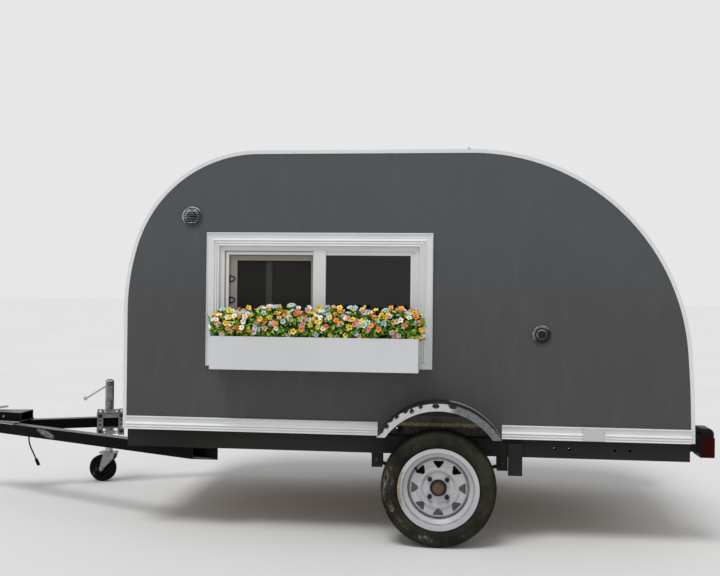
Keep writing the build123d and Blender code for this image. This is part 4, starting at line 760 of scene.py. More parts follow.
def hub_metal(t, place):
    """Rusty cap in the middle, and greasy black iron round it with its nuts."""
    eased = t.group("Eased edges", place, radius=0.0012, wear_width=0.003, breakup=70.0)
    radius, _, rise = polar_place(t, place, middle_of("hub_left"))
    bloom = t.group("Rust bloom", place, amount=0.5, scale=40.0)
    black = t.mix(t.noise(place, 60.0, 4.0, 0.6), "#080C0C", "#1A2122")
    black = t.over(black, "#6A6660", eased["Wear"], 0.5)
    cap = t.mix(t.noise(place, 90.0, 4.0, 0.6), "#3D322B", "#6B5A4C")
    rusty = t.over(cap, bloom["Colour"], bloom["Mask"], 0.7)
    rusty = t.mix(t.span(rise, 0.006, 0.020, 0.0, 0.7), rusty, "#2E3A38")
    return {"Base Color": t.mix(t.span(radius, 0.026, 0.0245), black, rusty),
            "Roughness": t.span(bloom["Height"], 0.3, 0.7, 0.5, 0.85), "Specular IOR Level": 0.3,
            "Normal": t.bump(bloom["Height"], 0.001, 0.7, eased["Normal"])}


def ripples(t, value, waves):
    """Sine of a place, its waves given as turns in radians for a metre."""
    return t.math("SINE", t.times(value, waves))


def lens_red(t, place):
    """Deep red moulded lens: small square prisms pressed into its face."""
    parts = t.parts(place)
    prism = t.times(ripples(t, parts["Z"], 1400.0), ripples(t, t.plus(parts["X"], parts["Y"]), 1400.0))
    return {"Base Color": t.mix(t.span(prism, -1.0, 1.0), "#190102", "#3E0404"),
            "Roughness": t.span(t.noise(place, 40.0), 0.3, 0.7, 0.12, 0.24), "Specular IOR Level": 0.06,
            "Normal": t.bump(prism, 0.0006, 0.25)}


def moulded(t, place, node, colour, shine, rings, glint=None, slat_pitch=None):
    """Glossy round moulding with painted highlights: its rings and thin edges are painted pale, most of all
    towards the upper front.

    Each ring is a radius, a half width and how bright its painted highlight is away from the light. The glint
    is the height and half length of one painted bright bar. The slat pitch breaks the last ring into the ends
    of the slats."""
    eased = t.group("Eased edges", place, radius=0.0014, wear_width=0.0028, breakup=80.0)
    wide = high(node) - low(node)
    radius, ahead, rise = polar_place(t, place, middle_of(node))
    # Painted light: this share grows towards the upper front, where the highlights are painted brightest.
    lit = t.span(t.plus(t.times(ahead, 1.2 / wide[0]), t.times(rise, 1.6 / wide[2])), -0.35, 0.55)
    edge = t.times(eased["Edge"], t.span(lit, 0.0, 1.0, 0.25, 0.9))
    ends = t.span(ripples(t, rise, 2 * math.pi / slat_pitch), -0.2, 0.4) if slat_pitch else 1.0
    for number, (reach, width, shade) in enumerate(rings):
        ring = t.times(ring_mask(t, radius, reach, width, 0.0006), t.span(lit, 0.0, 1.0, shade, 1.0))
        if number == len(rings) - 1:
            ring = t.times(ring, ends, t.span(rise, 0.023, 0.020))
        edge = t.most(edge, ring)
    edge = t.times(edge, t.span(t.noise(place, 75.0, 3.0, 0.6), 0.36, 0.58, 0.35, 1.0))
    # Painted glint: one bright bar across the moulding.
    if glint:
        bar = t.times(ring_mask(t, rise, glint[0], 0.0028, 0.0008),
                      t.span(t.positive(ahead), glint[1], glint[1] - 0.004))
        edge = t.most(edge, bar)
    base = t.mix(t.noise(place, 40.0, 4.0, 0.6), shaded(colour, 0.8), colour)
    return {"Base Color": t.mix(edge, base, shine), "Roughness": t.span(edge, 0.0, 1.0, 0.4, 0.3),
            "Specular IOR Level": 0.3,
            "Normal": t.bump(t.noise(place, 500.0, 2.0), 0.0004, 0.15, eased["Normal"])}


def insect_screen(t, place):
    """Woven screen: dark threads both ways, with the holes between them let through."""
    parts = t.parts(place)
    thread = t.most(ripples(t, parts["X"], 4000.0), ripples(t, parts["Z"], 4000.0))
    return {"Base Color": t.mix(t.noise(place, 6.0, 4.0, 0.6), "#1D1D1B", "#333230"),
            "Alpha": t.span(thread, -0.4, 0.8, 0.55, 0.9), "Roughness": 0.85, "Specular IOR Level": 0.2,
            "Normal": t.bump(thread, 0.0004, 0.4)}


def leafy(t, place, stops, roughness=0.5):
    """Leaf: colour picked by the tint of each copy, mottled."""
    mottled = t.noise(place, 240.0, 3.0, 0.6)
    base = t.multiply(t.span(mottled, 0.4, 0.75, 0.0, 0.35), t.ramp(t.tint(), stops), "#C8C0A8")
    return {"Base Color": base, "Roughness": roughness, "Specular IOR Level": 0.3,
            "Normal": t.bump(mottled, 0.0006, 0.3)}


# Colours of the flowers, and the share of the blooms that has each
PETALS = ["#F28A2A", "#FBB01E", "#FCE23A", "#FDFBF8", "#B4E0F2", "#E88E9E", "#DDD4F2", "#F8B89E", "#C8ECE4"]
PETAL_SHARES = [0.14, 0.15, 0.23, 0.19, 0.09, 0.05, 0.07, 0.06, 0.02]


def petal(t, place):
    """Flower: a colour picked by the tint of each bloom, deeper towards its middle and paler at its rim."""
    tint = t.tint()
    base = t.ramp(tint, [(k / len(PETALS), code) for k, code in enumerate(PETALS)], constant=True)
    reach = t.math("FRACT", t.times(tint, float(len(PETALS))))
    base = t.multiply(t.span(reach, 0.5, 0.15), base, "#E0934A")
    return {"Base Color": t.mix(t.span(reach, 0.6, 0.9, 0.0, 0.25), base, "#FFFFFF"), "Roughness": 0.6,
            "Specular IOR Level": 0.3, "Normal": t.bump(t.noise(place, 600.0, 3.0, 0.6), 0.0005, 0.3)}


def soil_mix(t, place):
    """Dark potting soil with paler crumbs."""
    crumb = t.node("TexVoronoi", {"Vector": place, "Scale": 160.0}).outputs["Distance"]
    return {"Base Color": t.mix(t.noise(place, 70.0, 5.0, 0.7), "#1C130D", "#4A3524"), "Roughness": 0.95,
            "Normal": t.bump(crumb, 0.004, 0.8)}


def floor_paint(t, place):
    """Pale studio floor with a faint cloud in it."""
    return {"Base Color": t.mix(t.noise(place, 0.8, 3.0, 0.5), (0.70, 0.70, 0.70, 1), (0.76, 0.76, 0.755, 1)),
            "Roughness": 0.9, "Specular IOR Level": 0.1}


# Every finish: the function that makes it and what that function is given
FINISHES = {
    "wall_paint": (coated, dict(colour="body", roughness=0.5, under="#8C8C88", wear=0.25, peel=0.22,
                                dust=0.12, dust_high=0.75, upward=0.0, shift=0.04, tone=wall_tone)),
    "roof_paint": (coated, dict(colour="body", roughness=0.48, under="#8C8C88", wear=0.3, peel=0.22,
                                dust_high=0.4, upward=0.5, shift=0.06, tone=sheet_tone)),
    "trim_white": (coated, dict(colour="trim", roughness=0.42, under="#8F8A80", wear=0.3, peel=0.1, dust=0.35,
                                dust_high=0.75, upward=0.15, shift=0.03)),
    # Painted shade: the sill cover is a greyer white than the trim.
    "cover_white": (coated, dict(colour="#BFC1C3", roughness=0.5, under="#8F8A80", wear=0.4, peel=0.1,
                                 dust_high=0.75, shift=0.03)),
    "vinyl": (coated, dict(colour="vinyl", roughness=0.38, wear=0.0, peel=0.05, dust=0.2, dust_high=0.2,
                           upward=0.5, shift=0.02, coat=0.1)),
    # Painted shade: the screen's frame is grey-brown, its own colour darkened for its recess behind the sash.
    "screen_frame": (coated, dict(colour="#8A847B", roughness=0.5, wear=0.1, peel=0.05, dust=0.2,
                                  shift=0.06)),
    "planter_board": (coated, dict(colour="planter", roughness=0.5, under="#8E8B84", wear=0.35, peel=0.12,
                                   dust_high=0.5, upward=0.2, shift=0.03)),
    # The vent's and the inlet's pale rings, edges and bar are painted highlights.
    "vent_paint": (moulded, dict(node="round_vent", colour="#26282A", shine="#F4F7F8", glint=(0.0275, 0.019),
                                 rings=[(0.0415, 0.0012, 0.10), (0.0280, 0.0036, 0.45)], slat_pitch=0.0095)),
    "inlet_black": (moulded, dict(node="power_inlet", colour="#060708", shine="#B2B4B4",
                                  rings=[(0.0372, 0.0011, 0.0), (0.0310, 0.0009, 0.0),
                                         (0.0208, 0.0009, 0.30)])),
    "black_plastic": (coated, dict(colour="#060608", roughness=0.38, under="#303234", wear=0.4,
                                   peel_scale=700.0, dust=0.06, upward=0.2, specular=0.1)),
    "bright_zinc": (coated, dict(colour="#C9CBC5", roughness=0.32, metallic=0.55, wear=0.0, peel=0.1,
                                 dust=0.1, shift=0.08)),
    "white_metal": (coated, dict(colour="#D2D4D4", roughness=0.35, under="#8F8F8C", wear=0.4, peel=0.1)),
    "zinc": (galvanised, {}),
    "bolt_zinc": (coated, dict(colour="#A8A79E", roughness=0.4, metallic=0.85, wear=0.0, peel=0.1, rust=0.25,
                               rust_scale=60.0)),
    "bolt_black": (coated, dict(colour="#17191C", roughness=0.4, metallic=0.3, under="#7A6A5A", wear=0.6,
                                peel=0.2, dust=0.2, specular=0.3)),
    "chassis_black": (coated, dict(colour="chassis", roughness=0.5, under="#4A453F", peel=0.3,
                                   peel_scale=260.0, dust=0.12, dust_high=0.42, upward=0.9, rust=0.08,
                                   rust_scale=18.0, specular=0.1, shift=0.2)),
    # The arm's and the coupler's pale blue-grey dust on faces that look up is dust and painted light on their
    # tops.
    "tongue_black": (coated, dict(colour="#050607", roughness=0.42, under="#5C5A58", peel=0.3,
                                  peel_scale=260.0, dust=0.4, dust_high=0.05, upward=1.0, rust=0.05,
                                  rust_scale=18.0, specular=0.06, tone=scuffed_tone,
                                  dust_colour="#9B9EA6")),
    # The coupler's edges wear through to pale metal: worn edges, and painted highlights too.
    "coupler_black": (coated, dict(colour="#050607", roughness=0.42, under="#A2A4A4", wear=0.9, radius=0.0022,
                                   breakup=45.0, peel=0.3, peel_scale=260.0, dust=0.4, dust_high=0.05,
                                   upward=1.0, rust=0.05, specular=0.06, tone=dust_and_lit_top,
                                   dust_colour="#A4A6A8")),
    "weld_bright": (coated, dict(colour="#A9ABAB", roughness=0.36, metallic=0.5, wear=0.0, peel=0.3, dust=0.2,
                                 rust=0.2, rust_scale=45.0, shift=0.25)),
    "spring_steel": (coated, dict(colour="#121110", roughness=0.6, under="#5B4030", wear=0.7, peel=0.5,
                                  rust=0.4, rust_scale=22.0, specular=0.3)),
    "fender": (fender_paint, {}),
    "wheel": (wheel_paint, {}),
    "hub": (hub_metal, {}),
    "tyre": (rubber, dict(colour="#1A1A17", dust_high=0.8, scuffed=0.8, node="tyre_left")),
    "caster_rubber": (rubber, dict(colour="#0C0D0E", dusty=0.3, dust_high=0.3, scuffed=0.3)),
    "cable": (rubber, dict(colour="#0A0B0C", dusty=0.2, dust_high=0.5, scuffed=0.1)),
    "gasket": (rubber, dict(colour="#0A0B0B", dusty=0.2, scuffed=0.1)),
    "glass": (dark_glass, {}),
    # Painted shade: the door's glass is tinted almost black, so the cabin seen through the side window stays
    # dark.
    "door_glass": (dark_glass, dict(tint=(0.012, 0.013, 0.0125, 1))),
    "insect_screen": (insect_screen, {}),
    "lens": (lens_red, {}),
    "ply": (timber, dict(light="#C39E70", dark="#A0784C")),
    "pine": (timber, dict(light="#8C7E5E", dark="#665940", scale=0.7, dust=0.3, mud="#5C553F",
                          dark_mud="#26221A")),
    "soil": (soil_mix, {}),
    "leaves": (leafy, dict(stops=[(0.0, "#0E180A"), (0.25, "#2F5619"), (0.5, "#5C9A28"), (0.75, "#A8D23C"),
                                  (1.0, "#E6EE70")])),
    "sprigs": (leafy, dict(stops=[(0.0, "#7FB89C"), (0.6, "#C4E8D8"), (1.0, "#DDE8A8")])),
    "petals": (petal, {}),
    "bloom_eye": (leafy, dict(stops=[(0.0, "#C77A12"), (0.5, "#F2D23A"), (1.0, "#8A4A1A")], roughness=0.7)),
    "floor": (floor_paint, {}),
}


def material(name):
    """The finish of that name, built the first time that it is asked for, with a name of its own."""
    own = "finish_" + name
    if own not in bpy.data.materials:
        made = bpy.data.materials.new(own)
        made.use_nodes = True
        surface = made.node_tree.nodes["Principled BSDF"]
        t = Tree(made.node_tree)
        fill, options = FINISHES[name]
        for socket, value in fill(t, t.node("TexCoord").outputs["Object"], **options).items():
            t.feed(surface.inputs[socket], value)
    return bpy.data.materials[own]


NODE_FINISHES = {
    "wall_paint": ["wall_left", "wall_right"],
    "roof_paint": ["roof_shell", "rear_board", "hatch_panel", "door_leaf"],
    "trim_white": ["edge_trims", "sill_mouldings", "window_casing", "door_frame", "door_stop"],
    "ply": ["floor_deck", "galley_counter", "bulkheads"],
    "pine": ["side_joists", "cross_joists"],
    "vinyl": ["window_frame", "window_sash"],
    "screen_frame": ["screen_frame"],
    "glass": ["window_glass"],
    "door_glass": ["door_glass"],
    "planter_board": ["planter_box"],
    "vent_paint": ["round_vent"],
    "inlet_black": ["power_inlet"],
    "black_plastic": ["lamp_housings", "door_light_frame", "door_handle"],
    "white_metal": ["hatch_hinge_roof", "hatch_hinge_leaf"],
    "chassis_black": ["rails", "crossmembers", "axle_beam", "spring_hangers", "lamp_brackets", "rail_posts"],
    "tongue_black": ["tongue_arm_left", "tongue_arm_right"],
    "coupler_black": ["coupler"],
    "bolt_zinc": ["coupler_latch", "hatch_handle"],
    "spring_steel": ["leaf_springs"],
    "fender": ["fenders"],
    "wheel": ["rim_left", "rim_right"],
    "hub": ["hub_left", "hub_right"],
    "lens": ["lamp_lenses"],
    "zinc": ["jack_bracket", "jack_body", "caster_fork"],
    "bright_zinc": ["jack_crank", "jack_leg"],
    "caster_rubber": ["caster_wheel"],
}


# What a user sets
def paint_setting(name, description, code):
    """Property for one colour of paint."""
    return bpy.props.FloatVectorProperty(name=name, description=description, subtype="COLOR", size=3, min=0,
                                         max=1, default=srgb(code)[:3])


class TrailerPaints(bpy.types.PropertyGroup):
    """Colours of the painted parts"""
    body: paint_setting("Body", "Paint of the walls, roof and hatch", "#434446")
    trim: paint_setting("Trim", "Paint of the mouldings and edge trims", "#DADCDD")
    vinyl: paint_setting("Window Frame", "Vinyl of the window frames", "#D6D7D5")
    planter: paint_setting("Planter", "Paint of the planter box", "#CDCFD1")
    chassis: paint_setting("Chassis", "Paint of the rails and the tongue", "#262624")


class TrailerSizes(bpy.types.PropertyGroup):
    """Sizes of the parts that are made here"""
    bloom_width: bpy.props.FloatProperty(
        name="Bloom Width", description="Width of a flower", default=0.025, min=0.01, max=0.04, unit="LENGTH")
    bloom_count: bpy.props.IntProperty(
        name="Blooms", description="Number of flowers in the planter", default=290, min=0, max=500)
    leaf_length: bpy.props.FloatProperty(
        name="Leaf Length", description="Length of a leaf", default=0.015, min=0.005, max=0.05, unit="LENGTH")
    leaf_count: bpy.props.IntProperty(
        name="Leaves", description="Number of leaves in the planter", default=7000, min=0, max=9000)
    tread_depth: bpy.props.FloatProperty(
        name="Tread Depth", description="Depth of the tyre's grooves", default=0.006, min=0.001, max=0.01,
        unit="LENGTH")
    screw_pitch: bpy.props.FloatProperty(
        name="Screw Spacing", description="Distance between the screws of the edge trims", default=0.2,
        min=0.05, max=0.6, unit="LENGTH")


class TrailerStage(bpy.types.PropertyGroup):
    """Camera, lights and floor"""
    camera_place: bpy.props.FloatVectorProperty(
        name="Camera Place", description="Camera, from the foot of the body's front", subtype="TRANSLATION",
        size=3, default=(-1.4655, 4.4987, 1.0517))
    camera_turn: bpy.props.FloatVectorProperty(
        name="Camera Turn", description="Yaw, pitch and roll of the camera", subtype="EULER", size=3,
        default=(-0.1081, 0.0038, 0.0106))
    focal_length: bpy.props.FloatProperty(
        name="Focal Length", description="Lens of the camera, in millimetres", default=45.6, min=10, max=200)
    sun_strength: bpy.props.FloatProperty(
        name="Top Light", description="Strength of the soft light from above", default=1.5, min=0, max=10)
    sky_strength: bpy.props.FloatProperty(
        name="Room Light", description="Strength of the even light from all round", default=0.62, min=0,
        max=3)
    backdrop: bpy.props.FloatProperty(
        name="Backdrop", description="How pale the backdrop looks", default=0.80, min=0, max=1)


def sizes():
    """Sizes chosen in the panel."""
    return bpy.context.scene.trailer_sizes


# The camera, the light and the floor
def studio_world(strength, backdrop):
    """Even light for the object, while the camera and reflections see a pale backdrop."""
    world = bpy.data.worlds.new("studio")
    bpy.context.scene.world = world
    world.use_nodes = True
    t = Tree(world.node_tree)
    plain = world.node_tree.nodes["Background"]
    seen = t.node("LightPath").outputs
    looked_at = t.most(seen["Is Camera Ray"], t.most(seen["Is Glossy Ray"], seen["Is Transmission Ray"]))
    t.feed(plain.inputs["Color"], (1.0, 1.0, 1.0, 1.0))
    t.feed(plain.inputs["Strength"], t.node("MapRange", {"Value": looked_at, "To Min": strength,
                                                         "To Max": backdrop}).outputs["Result"])


# The soft light from above: where it comes from, and how wide it is in degrees; and how far the floor goes
LIGHT_FROM = (0.18, 0.42, 0.9)
LIGHT_SPREAD = 24
FLOOR_REACH = 90.0


class TRAILER_OT_stage(bpy.types.Operator):
    """Set up the camera, the studio light and the pale floor"""
    bl_idname = "trailer.stage"
    bl_label = "Camera, Light and Floor"

    def execute(self, context):
        stage = context.scene.trailer_stage
        context.scene.view_settings.view_transform = "Standard"
        camera = bpy.data.cameras.new("camera")
        camera.lens = stage.focal_length
        camera.sensor_width = 36.0
        holder = bpy.data.objects.new("camera", camera)
        context.scene.collection.objects.link(holder)
        context.scene.camera = holder
        yaw, pitch, roll = stage.camera_turn
        right = Vector((-math.cos(yaw), math.sin(yaw), 0))
        forward = Vector((-math.sin(yaw), -math.cos(yaw), 0))
        up = Vector((0, 0, 1))
        ahead = forward * math.cos(pitch) + up * math.sin(pitch)
        above = -forward * math.sin(pitch) + up * math.cos(pitch)
        side = right * math.cos(roll) + above * math.sin(roll)
        top = -right * math.sin(roll) + above * math.cos(roll)
        turn = Matrix((side, top, -ahead)).transposed().to_4x4()
        turn.translation = Vector(stage.camera_place) + Vector((FRONT, 0, 0))
        holder.matrix_world = turn

        sun = bpy.data.lights.new("top_light", "SUN")
        sun.energy = stage.sun_strength
        sun.angle = math.radians(LIGHT_SPREAD)
        lamp = bpy.data.objects.new("top_light", sun)
        context.scene.collection.objects.link(lamp)
        lamp.rotation_euler = Vector(LIGHT_FROM).to_track_quat("Z", "Y").to_euler()
        studio_world(stage.sky_strength, stage.backdrop)

        reach = np.linspace(-FLOOR_REACH, FLOOR_REACH, 5)
        x, y = np.meshgrid(reach, reach, indexing="ij")
        mesh_floor = grid(np.stack([x, y, np.zeros_like(x)], axis=-1))
        mesh = bpy.data.meshes.new("studio_floor")
        mesh.from_pydata(mesh_floor.points.tolist(), [], mesh_floor.faces[0].tolist())
        mesh.materials.append(material("floor"))
        floor = bpy.data.objects.new("studio_floor", mesh)
        context.scene.collection.objects.link(floor)
        return {"FINISHED"}


# The lead: points chosen along its route, from the foot of the body's front
LEAD_DIAMETER = 0.007
LEAD_ROUTE = [(0.680, 0.109, 0.311), (0.680, 0.109, 0.283), (0.671, 0.1105, 0.254), (0.655, 0.113, 0.226),
              (0.641, 0.1155, 0.200)]
PLUG_LENGTH = 0.042
PLUG_WIDTH = 0.026
PLUG_DEPTH = 0.010
# Power that squares the plug's section, and its grip: share of the length where the ribs start and end, their
# number and their depth, and how much the plug's free end is eased
PLUG_BLUNT = 0.55
GRIP_START, GRIP_END = 0.33, 0.62
GRIP_RIBS = 5
GRIP_DEPTH = 0.0006
EDGE_EASE = 0.0008


def plug_surface(start, direction):
    """Moulded plug: superellipse sections whose half width swells from lead to plug, with a sine as ribs."""
    share = np.concatenate([np.linspace(0, 0.3, 8), np.linspace(GRIP_START, GRIP_END, 19),
                            np.linspace(0.66, 1.0, 8)])
    w = np.asarray(direction, float) / np.linalg.norm(direction)
    u = Y_AXIS - w * w[1]
    u = u / np.linalg.norm(u)
    v = np.cross(w, u)
    swell = 0.5 - 0.5 * np.cos(np.pi * np.clip(share / 0.34, 0, 1))
    gripped = (share > GRIP_START) & (share < GRIP_END)
    ribs = np.sin((share - GRIP_START) * 2 * np.pi * GRIP_RIBS / (GRIP_END - GRIP_START))
    rib = np.where(gripped, GRIP_DEPTH * ribs, 0)
    less = np.where(share > 0.96, EDGE_EASE, 0) + 0.0007
    neck = LEAD_DIAMETER * 0.55
    a = neck + (PLUG_WIDTH / 2 - neck) * swell + rib - less
    b = neck + (PLUG_DEPTH / 2 - neck) * swell + rib - less
    turn = np.arange(24) * 2 * np.pi / 24
    wide = np.sign(np.cos(turn)) * np.abs(np.cos(turn)) ** PLUG_BLUNT
    tall = np.sign(np.sin(turn)) * np.abs(np.sin(turn)) ** PLUG_BLUNT
    line = np.asarray(start, float) + share[:, None] * PLUG_LENGTH * w
    points = line[:, None] + (a[:, None] * wide)[..., None] * u + (b[:, None] * tall)[..., None] * v
    return grid(points, close_v=True, caps=True), u, w


class TRAILER_OT_lead(bpy.types.Operator):
    """Hang the electrical lead and its flat plug from the left arm"""
    bl_idname = "trailer.lead"
    bl_label = "Electrical Lead"

    def execute(self, context):
        route = np.array(LEAD_ROUTE) + np.array([FRONT, 0, 0])
        curve = bpy.data.curves.new("lead_cord", "CURVE")
        curve.dimensions = "3D"
        curve.bevel_depth = LEAD_DIAMETER / 2
        curve.bevel_resolution = 4
        curve.use_fill_caps = True
        curve.resolution_u = 16
        line = curve.splines.new("NURBS")
        line.points.add(len(route) - 1)
        line.points.foreach_set("co", np.concatenate([route, np.ones((len(route), 1))], axis=1).ravel())
        line.order_u = 3
        line.use_endpoint_u = True
        curve.materials.append(material("cable"))
        cord = bpy.data.objects.new("lead_cord", curve)
        context.scene.collection.objects.link(cord)
        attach(cord, "trailer")
        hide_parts("lead")

        shell, across, ahead = plug_surface(route[-1], route[-1] - route[-2])
        tip = route[-1] + ahead * PLUG_LENGTH
        contact = [(-0.003, 0.0021), (0.0006, 0.0021), (0.001, 0.0017)]
        sockets = [turned(contact, tip + across * place, ahead, 12, finish=1)
                   for place in (-0.00825, -0.00275, 0.00275, 0.00825)]
        plug = piece("lead_plug_shell", [shell] + sockets, ["cable", "bolt_zinc"], "trailer",
                     ["lead_plug"])
        return {"FINISHED"}


class TRAILER_OT_finishes(bpy.types.Operator):
    """Give every solid of the frame its finish"""
    bl_idname = "trailer.finishes"
    bl_label = "Finishes"

    def execute(self, context):
        for finish, names in NODE_FINISHES.items():
            for name in names:
                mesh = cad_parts[name].data
                mesh.materials.clear()
                mesh.materials.append(material(finish))
        return {"FINISHED"}


# The outline of the body's side from the front's foot: an upright, a wide bend, a tight one, the flat of the
# roof, the rear's two bends and a short upright
FRONT_UPRIGHT = 0.519
SHIN_RADIUS, SHIN_TURN = 0.997, math.radians(17.4)
TAIL_RADIUS, TAIL_TURN = 4.511, math.radians(3.8)
REAR_TURN = math.radians(85.4)
TAIL_UPRIGHT = 0.0814
OUTLINE_POINTS = 60


def side_outline(inset=0.0):
    """Places and outward directions along the side outline, from the front foot over the roof to the rear.

    Each stretch is a line or an arc that starts where the last one ends; the inset moves it inwards."""
    tall = ROOF - FOOT
    long = FRONT - REAR
    tail_heading = REAR_TURN + TAIL_TURN
    brow = (tall - FRONT_UPRIGHT - SHIN_RADIUS * math.sin(SHIN_TURN)) / (1 - math.sin(SHIN_TURN))
    drop = TAIL_RADIUS * (math.cos(REAR_TURN) - math.cos(tail_heading))
    rear = (tall - TAIL_UPRIGHT * math.sin(tail_heading) - drop) / (1 - math.cos(REAR_TURN))
    front_reach = SHIN_RADIUS * (1 - math.cos(SHIN_TURN)) + brow * math.cos(SHIN_TURN)
    tail_reach = TAIL_RADIUS * (math.sin(tail_heading) - math.sin(REAR_TURN))
    rear_reach = rear * math.sin(REAR_TURN) + tail_reach + TAIL_UPRIGHT * math.cos(tail_heading)
    stretches = [(0, FRONT_UPRIGHT, 0), (SHIN_RADIUS, 0, SHIN_TURN), (brow, 0, math.pi / 2 - SHIN_TURN),
                 (0, long - front_reach - rear_reach, 0), (rear, 0, REAR_TURN), (TAIL_RADIUS, 0, TAIL_TURN),
                 (0, TAIL_UPRIGHT, 0)]
    share = np.linspace(0, 1, OUTLINE_POINTS)
    at, heading = np.array([FRONT - inset, FOOT]), math.pi / 2
    places, ways = [], []
    for radius, length, turn in stretches:
        if radius:
            angle = heading + share * turn
            bend = radius - inset
            centre = at + bend * np.array([-math.sin(heading), math.cos(heading)])
            run = centre + bend * np.stack([np.sin(angle), -np.cos(angle)], axis=1)
        else:
            angle = np.full(OUTLINE_POINTS, heading)
            run = at + length * share[:, None] * np.array([math.cos(heading), math.sin(heading)])
        places.append(run)
        ways.append(np.stack([np.sin(angle), -np.cos(angle)], axis=1))
        at, heading = run[-1], heading + turn
    return np.concatenate(places), np.concatenate(ways)


def spaced(places, ways, pitch, start=0.0, end=0.0):
    """The same line at even steps of about the pitch."""
    step = np.linalg.norm(np.diff(places, axis=0), axis=1)
    run = np.concatenate([[0], np.cumsum(step)])
    count = max(2, int(round((run[-1] - start - end) / pitch)) + 1)
    marks = np.linspace(start, run[-1] - end, count)
    return (np.stack([np.interp(marks, run, places[:, k]) for k in (0, 1)], axis=1),
            np.stack([np.interp(marks, run, ways[:, k]) for k in (0, 1)], axis=1))


def on_side(places, y):
    """Places in X and Z set at one Y."""
    return np.stack([places[:, 0], np.full(len(places), y), places[:, 1]], axis=1)


# How far inside the outline the screws and the hatch's seal run, and the seal's section
TRIM_MIDDLE = 0.007
SEAL_INSET = 0.016
SEAL_SECTION = [(0.0, -0.006), (0.0, 0.006), (0.0022, 0.004), (0.003, 0), (0.0022, -0.004)]


class TRAILER_OT_trims(bpy.types.Operator):
    """Fasten the edge trims and seal the hatch"""
    bl_idname = "trailer.trims"
    bl_label = "Trim Screws and Seals"

    def execute(self, context):
        face = high("edge_trims")[1]
        places, _ = spaced(*side_outline(TRIM_MIDDLE), sizes().screw_pitch, 0.06, 0.04)
        screws = stamped(pan_head(0.0034, 0.0016), on_side(places, face), Y_AXIS)
        piece("edge_trim_screws", [screws, screws.mirrored()], ["trim_white"], "trailer")

        inner = high("hatch_panel")[1]
        hinge = high("hatch_panel")[0]
        board = low("hatch_panel")[2]
        places, ways = spaced(*side_outline(SEAL_INSET), 0.02)
        kept = (places[:, 0] < hinge) & (places[:, 1] > board)
        line = on_side(places[kept], inner + 0.004)
        strip = carried(SEAL_SECTION, line, on_side(ways[kept], 0.0))
        piece("hatch_seals", [strip, strip.mirrored()], ["gasket"], "trailer")
        return {"FINISHED"}


# The planting
def crown_height(x, tall):
    """Height of the planting along the box: slow waves over four fifths of its rise."""
    waves = 0.06 * np.sin(x * 21.0 + 1.0) + 0.05 * np.sin(x * 47.0) + 0.03 * np.sin(x * 97.0 + 2.0)
    return tall * (0.80 + waves)


def mound(along, turn, out, tall):
    """Place on the mound, an oval across the box that is taller above than below, and the way out of it."""
    lo, hi = low("planting"), high("planting")
    x = lo[0] + 0.014 + along * (hi[0] - lo[0] - 0.028)
    end = np.clip(np.minimum(along, 1 - along) / 0.05, 0, 1) ** 0.5
    rise = crown_height(x, tall) * (0.55 + 0.45 * end)
    middle = high("planter_box")[2] + 0.36 * rise
    reach = np.where(np.sin(turn) > 0, 0.64, 0.40) * rise
    y = (lo[1] + hi[1]) / 2 - 0.004 + 0.055 * (0.8 + 0.2 * end) * out * np.cos(turn)
    z = middle + reach * out * np.sin(turn)
    away = np.stack([(along - 0.5) * 1.4 * (1 - end), np.cos(turn), np.sin(turn)], axis=-1)
    return np.stack([x, y, z], axis=-1), away


def bloom_shape():
    """Flower one unit wide: five round-tipped petals, each cupped by the square of its width, and an eye."""
    share, side = np.meshgrid(np.linspace(0, 1, 6), np.linspace(-1, 1, 5), indexing="ij")
    width = 0.21 * np.sin(np.pi * (0.12 + 0.72 * share)) ** 0.6
    along = 0.04 + 0.46 * share - 0.07 * share * side ** 2
    lift = 0.15 * share ** 1.4 + 0.03 * side ** 2 * share
    one = grid(np.stack([along, side * width, lift], axis=-1), tint=0.1 * share.ravel())
    petals = [one.moved(Matrix.Rotation(k * 2 * math.pi / 5, 4, "Z")) for k in range(5)]
    eye = turned([(0.0, 0.075), (0.05, 0.075), (0.085, 0.045)], steps=7, finish=1)
    return joined(petals + [eye])


def small_bloom_shape():
    """Tiny four-petalled flower one unit wide, each petal a lifted lozenge."""
    share, side = np.meshgrid(np.linspace(0, 1, 3), np.array([-1.0, 0.0, 1.0]), indexing="ij")
    width = 0.26 * np.sin(np.pi * (0.1 + 0.75 * share))
    one = grid(np.stack([0.02 + 0.48 * share - 0.08 * share * side ** 2, side * width, 0.2 * share], axis=-1),
               tint=0.04 + 0.06 * share.ravel())
    return joined([one.moved(Matrix.Rotation(k * math.pi / 2, 4, "Z")) for k in range(4)])


def leaf_shape():
    """Leaf one unit long: a lance folded along its rib, its tip drooping by the square of the length."""
    share, side = np.meshgrid(np.linspace(0, 1, 4), np.array([-1.0, 0.0, 1.0]), indexing="ij")
    width = 0.25 * np.sin(np.pi * np.clip(share * 0.94 + 0.05, 0, 1)) ** 0.8
    return grid(np.stack([share, side * width, 0.10 * np.abs(side) * width * 4 - 0.25 * share ** 2], axis=-1))


def stalks(feet, tips, radius, tint=0.45):
    """Thin stems: each rises from its foot and leans over to its tip by a power of its share."""
    rings, steps = 5, 5
    share = np.linspace(0, 1, rings)[None, :, None]
    lean = np.concatenate([share ** 1.6, share ** 1.6, share], axis=-1)
    path = feet[:, None] + (tips - feet)[:, None] * lean
    turn = np.arange(steps) * 2 * np.pi / steps
    ring = np.stack([np.cos(turn), np.sin(turn), np.zeros(steps)], axis=1) * radius
    points = path[:, :, None] + ring
    step = np.arange(len(feet))[:, None, None] * rings * steps
    faces = (grid_faces(rings, steps, close_v=True)[None, :, ::-1] + step).reshape(-1, 4)
    return Surface(points.reshape(-1, 3), [faces], 0, tint)


